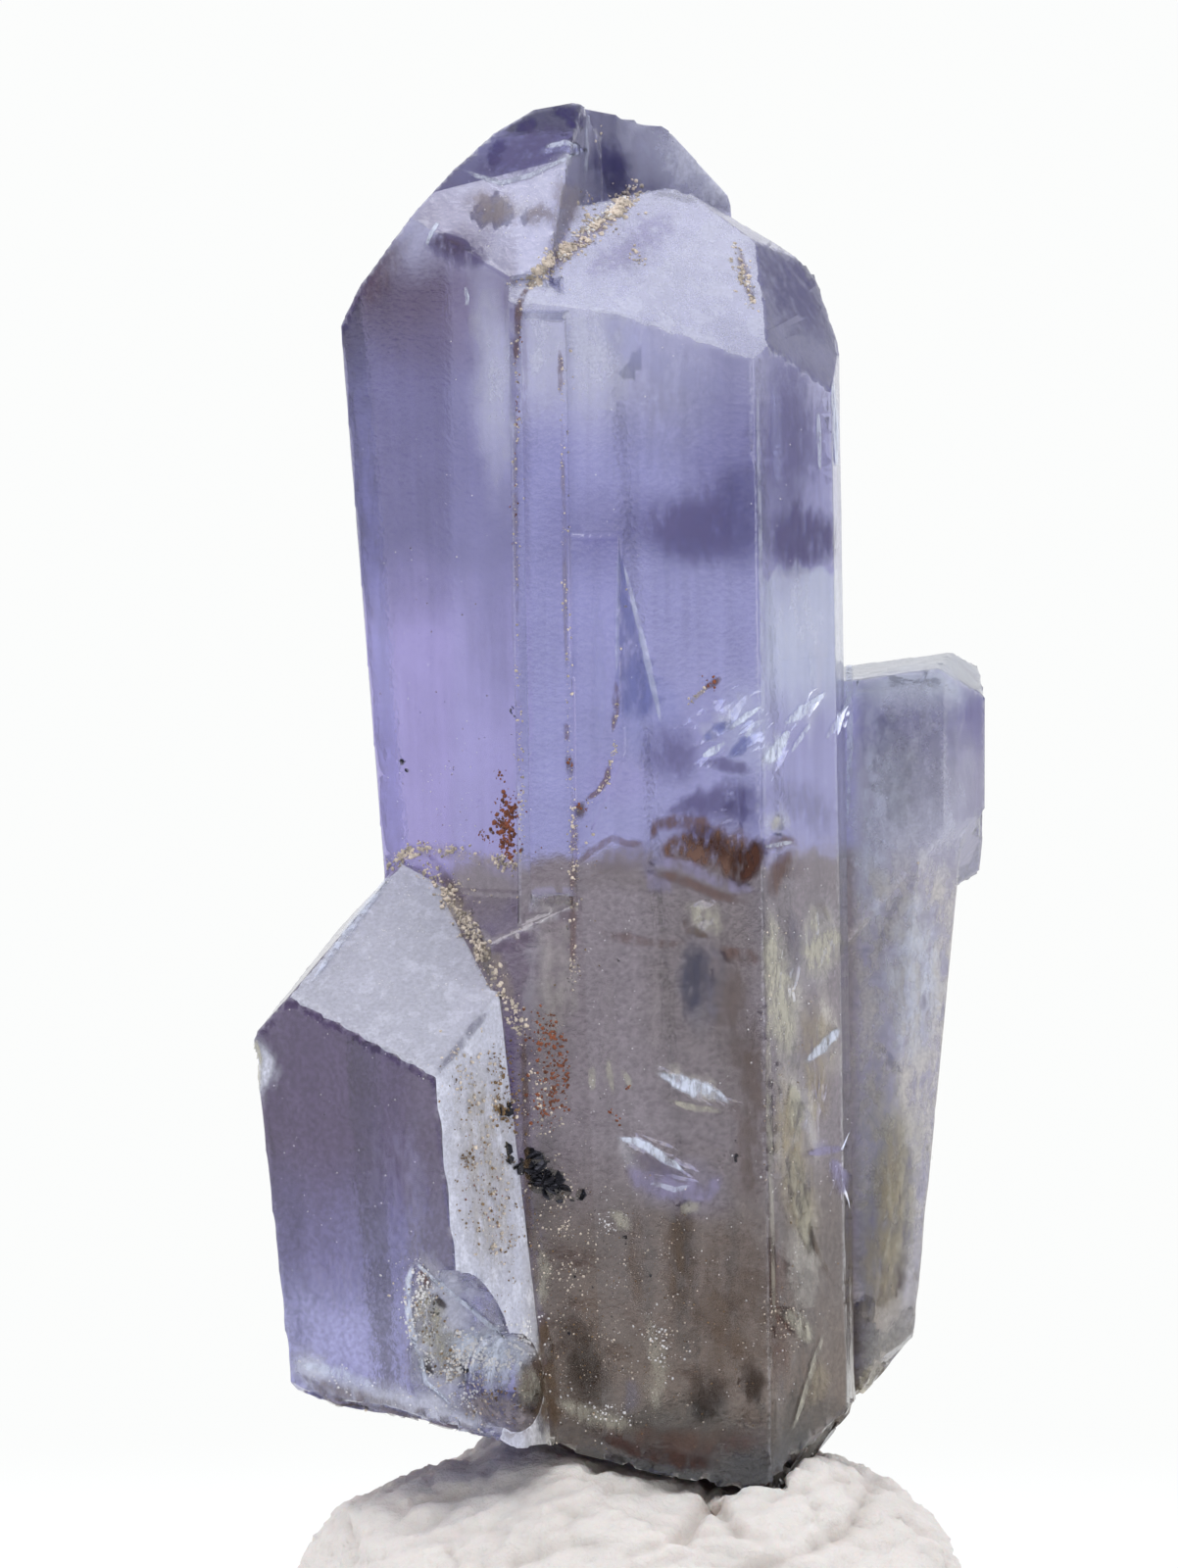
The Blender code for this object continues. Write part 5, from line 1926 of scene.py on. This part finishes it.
def picture_place(point):
    """The pixel of the picture that a point in millimetres is seen at."""
    eye, looking, upward = camera_place()
    away = point - eye
    scale = CAMERA_DISTANCE / (away.dot(looking) * PIXEL)
    return Vector((PICTURE_WIDTH / 2 + away.x * scale, PICTURE_HEIGHT / 2 - away.dot(upward) * scale))


def path_distance(place, path):
    """How far a pixel is from a path of pixels."""
    least = 1e9
    for here, there in zip(path, path[1:]):
        start = Vector(here)
        along = Vector(there) - start
        share = min(1.0, max(0.0, (place - start).dot(along) / along.length_squared))
        least = min(least, (place - start - along * share).length)
    return least


def fold_depth(point):
    """How far the folds and dents press the putty in at a point, in millimetres."""
    wobble = 5.0 * noise.noise(point * 2.0)
    place = picture_place(point)
    pressed = 0.0
    for depth, half, path in PUTTY_FOLDS:
        pressed += depth * max(0.0, 1.0 - (path_distance(place, path) + wobble) / half) ** 1.3
    return pressed


def build_putty():
    given = bpy.context.scene.putty_settings
    cell = given.cell / MM * 1.0
    shape = voxel_copy("mounting_putty", cell)
    for _ in range(6):
        inner = [vert for vert in shape.verts if vert.co.z > cell * 1.5]
        bmesh.ops.smooth_vert(
            shape, verts=inner, factor=0.5, use_axis_x=True, use_axis_y=True, use_axis_z=True
        )
    shape.normal_update()
    depth = given.roughness / MM
    low, high = (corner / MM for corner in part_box("mounting_putty"))
    layer = shape.verts.layers.float.new("pressed")
    for vert in shape.verts:
        lifted = smooth_step(cell, 0.8, vert.co.z)
        kneaded = depth * max(0.0, kneaded_depth(vert.co))
        folded = fold_depth(vert.co) if vert.normal.y < 0.3 else 0.0
        # The pressed depth, kept for the painted shade in the folds and wrinkles
        vert[layer] = folded + 0.4 * kneaded
        vert.co -= vert.normal * (lifted * (kneaded + folded))
        vert.co.x = min(high.x, max(low.x, vert.co.x))
        vert.co.y = min(high.y, max(low.y, vert.co.y))
        vert.co.z = 0.0 if vert.co.z < cell * 0.75 else min(high.z, vert.co.z)
    putty = add_piece("putty_lump", shape, make_putty())
    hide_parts("mounting_putty")


# The studio


def build_floor():
    given = bpy.context.scene.studio_settings
    shape = bmesh.new()
    bmesh.ops.create_circle(shape, cap_ends=True, segments=96, radius=given.floor_radius)
    mesh = bpy.data.meshes.new("floor")
    shape.to_mesh(mesh)
    shape.free()
    floor = bpy.data.objects.new("floor", mesh)
    bpy.context.scene.collection.objects.link(floor)
    material, tree, shader = new_tree("Floor")
    colour = (*given.backdrop, 1.0)
    shader.inputs["Base Color"].default_value = colour
    shader.inputs["Roughness"].default_value = 0.9
    shader.inputs["Specular IOR Level"].default_value = 0.0
    glow = add_node(tree, "ShaderNodeEmission", {"Color": colour})
    place = add_node(tree, "ShaderNodeTexCoord").outputs["Object"]
    away = add_node(tree, "ShaderNodeVectorMath", {0: place}, operation="LENGTH").outputs["Value"]
    far = map_range(tree, away, 8 * MM, 45 * MM, smooth=True)
    mixed = add_node(tree, "ShaderNodeMixShader", {0: far, 1: shader.outputs[0], 2: glow.outputs[0]})
    tree.links.new(mixed.outputs[0], tree.nodes["Material Output"].inputs[0])
    mesh.materials.append(material)


def build_world():
    """An even white backdrop, with light that is dimmer from the viewer's side."""
    given = bpy.context.scene.studio_settings
    world = bpy.data.worlds.new("Studio")
    bpy.context.scene.world = world
    world.use_nodes = True
    tree = world.node_tree
    seen = tree.nodes["Background"]
    seen.inputs["Color"].default_value = (*given.backdrop, 1.0)
    direction = add_node(tree, "ShaderNodeTexCoord").outputs["Generated"]
    axes = add_node(tree, "ShaderNodeSeparateXYZ", {0: direction})
    front = map_range(tree, axes.outputs[1], -0.75, 0.35, 0.12, 1.0, smooth=True)
    sides = map_range(tree, axes.outputs[0], -1.0, -0.5, 0.45, 1.0, smooth=True)
    above = map_range(tree, axes.outputs[2], 0.15, 0.75, 0.0, 0.55, smooth=True)
    level = maths(tree, "ADD", maths(tree, "MULTIPLY", front, sides), above, clamp=True)
    light = add_node(tree, "ShaderNodeBackground", {"Color": (0.97, 0.98, 1.0, 1.0), "Strength": level})
    camera_ray = add_node(tree, "ShaderNodeLightPath").outputs["Is Camera Ray"]
    mixed = add_node(tree, "ShaderNodeMixShader", {0: camera_ray, 1: light.outputs[0], 2: seen.outputs[0]})
    tree.links.new(mixed.outputs[0], tree.nodes["World Output"].inputs[0])


def add_softbox(name, place, width, height, brightness):
    """A rectangular light that faces the middle of the group, with the given brightness."""
    light = bpy.data.lights.new(name, "AREA")
    light.shape = "RECTANGLE"
    light.size = width * MM
    light.size_y = height * MM
    light.energy = brightness * math.pi * light.size * light.size_y
    lamp = bpy.data.objects.new(name, light)
    lamp.location = Vector(place) * MM
    target = Vector((0.0, 0.0, GROUP_HEIGHT / 2)) * MM
    lamp.rotation_euler = (target - lamp.location).to_track_quat("-Z", "Y").to_euler()
    bpy.context.scene.collection.objects.link(lamp)


def build_camera():
    place, looking, _ = camera_place()
    camera = bpy.data.cameras.new("camera")
    camera.sensor_width = CAMERA_SENSOR
    camera.lens = CAMERA_SENSOR * CAMERA_DISTANCE / (PICTURE_HEIGHT * PIXEL)
    camera.clip_start = 10 * MM
    camera.clip_end = 10.0
    holder = bpy.data.objects.new("camera", camera)
    holder.location = place * MM
    holder.rotation_euler = looking.to_track_quat("-Z", "Y").to_euler()
    bpy.context.scene.collection.objects.link(holder)
    bpy.context.scene.camera = holder


# Operators, panel and properties


class TANZANITE_OT_crystals(Operator):
    """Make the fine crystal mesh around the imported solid"""

    bl_idname = "tanzanite.crystals"
    bl_label = "Crystals"

    def execute(self, context):
        SURFACE["tree"], SURFACE["grooves"] = build_crystals()
        return {"FINISHED"}


class TANZANITE_OT_fractures(Operator):
    """Make the silvery fractures inside the crystals, which glow with a painted glint"""

    bl_idname = "tanzanite.fractures"
    bl_label = "Fractures"

    def execute(self, context):
        build_fractures()
        return {"FINISHED"}


class TANZANITE_OT_inclusions(Operator):
    """Make the coloured bodies, veils and stains, with painted highlights, dark reflection and contact shadow"""

    bl_idname = "tanzanite.inclusions"
    bl_label = "Inclusions"

    def execute(self, context):
        build_inclusions()
        return {"FINISHED"}


class TANZANITE_OT_grains(Operator):
    """Scatter dust, rust grains and graphite flakes on the crystals"""

    bl_idname = "tanzanite.grains"
    bl_label = "Grains"

    def execute(self, context):
        build_dust()
        build_white_grains()
        build_earth()
        build_rust()
        build_graphite()
        return {"FINISHED"}


class TANZANITE_OT_putty(Operator):
    """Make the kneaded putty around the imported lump"""

    bl_idname = "tanzanite.putty"
    bl_label = "Putty"

    def execute(self, context):
        build_putty()
        return {"FINISHED"}


class TANZANITE_OT_stage(Operator):
    """Set the floor, the light and the camera"""

    bl_idname = "tanzanite.stage"
    bl_label = "Stage"

    def execute(self, context):
        bright = context.scene.studio_settings.softbox
        build_floor()
        build_world()
        add_softbox("upper_softbox", (-60, -90, 190), 150, 150, bright)
        add_softbox("right_softbox", (170, -110, 60), 60, 160, bright * 0.8)
        build_camera()
        context.scene.view_settings.view_transform = "Standard"
        return {"FINISHED"}


OPERATORS = [
    TANZANITE_OT_crystals,
    TANZANITE_OT_fractures,
    TANZANITE_OT_inclusions,
    TANZANITE_OT_grains,
    TANZANITE_OT_putty,
    TANZANITE_OT_stage,
]


class TANZANITE_PT_panel(Panel):
    """Lists the pieces and their settings"""

    bl_label = "Tanzanite"
    bl_idname = "TANZANITE_PT_panel"
    bl_space_type = "VIEW_3D"
    bl_region_type = "UI"
    bl_category = "Tanzanite"

    def draw(self, context):
        for operator in OPERATORS:
            self.layout.operator(operator.bl_idname)
        for name in SETTINGS:
            box = self.layout.box()
            group = getattr(context.scene, name)
            for key in group.__annotations__:
                box.prop(group, key)


SETTINGS = {
    "crystal_settings": CrystalSettings,
    "inclusion_settings": InclusionSettings,
    "dust_settings": DustSettings,
    "putty_settings": PuttySettings,
    "studio_settings": StudioSettings,
}
CLASSES = [*SETTINGS.values(), *OPERATORS, TANZANITE_PT_panel]


def register():
    for made in CLASSES:
        bpy.utils.register_class(made)
    for name, group in SETTINGS.items():
        setattr(bpy.types.Scene, name, PointerProperty(type=group))


def unregister():
    for name in SETTINGS:
        delattr(bpy.types.Scene, name)
    for made in reversed(CLASSES):
        bpy.utils.unregister_class(made)


def main():
    register()
    bpy.ops.tanzanite.crystals()
    bpy.ops.tanzanite.fractures()
    bpy.ops.tanzanite.inclusions()
    bpy.ops.tanzanite.grains()
    bpy.ops.tanzanite.putty()
    bpy.ops.tanzanite.stage()


if __name__ == "__main__":
    main()
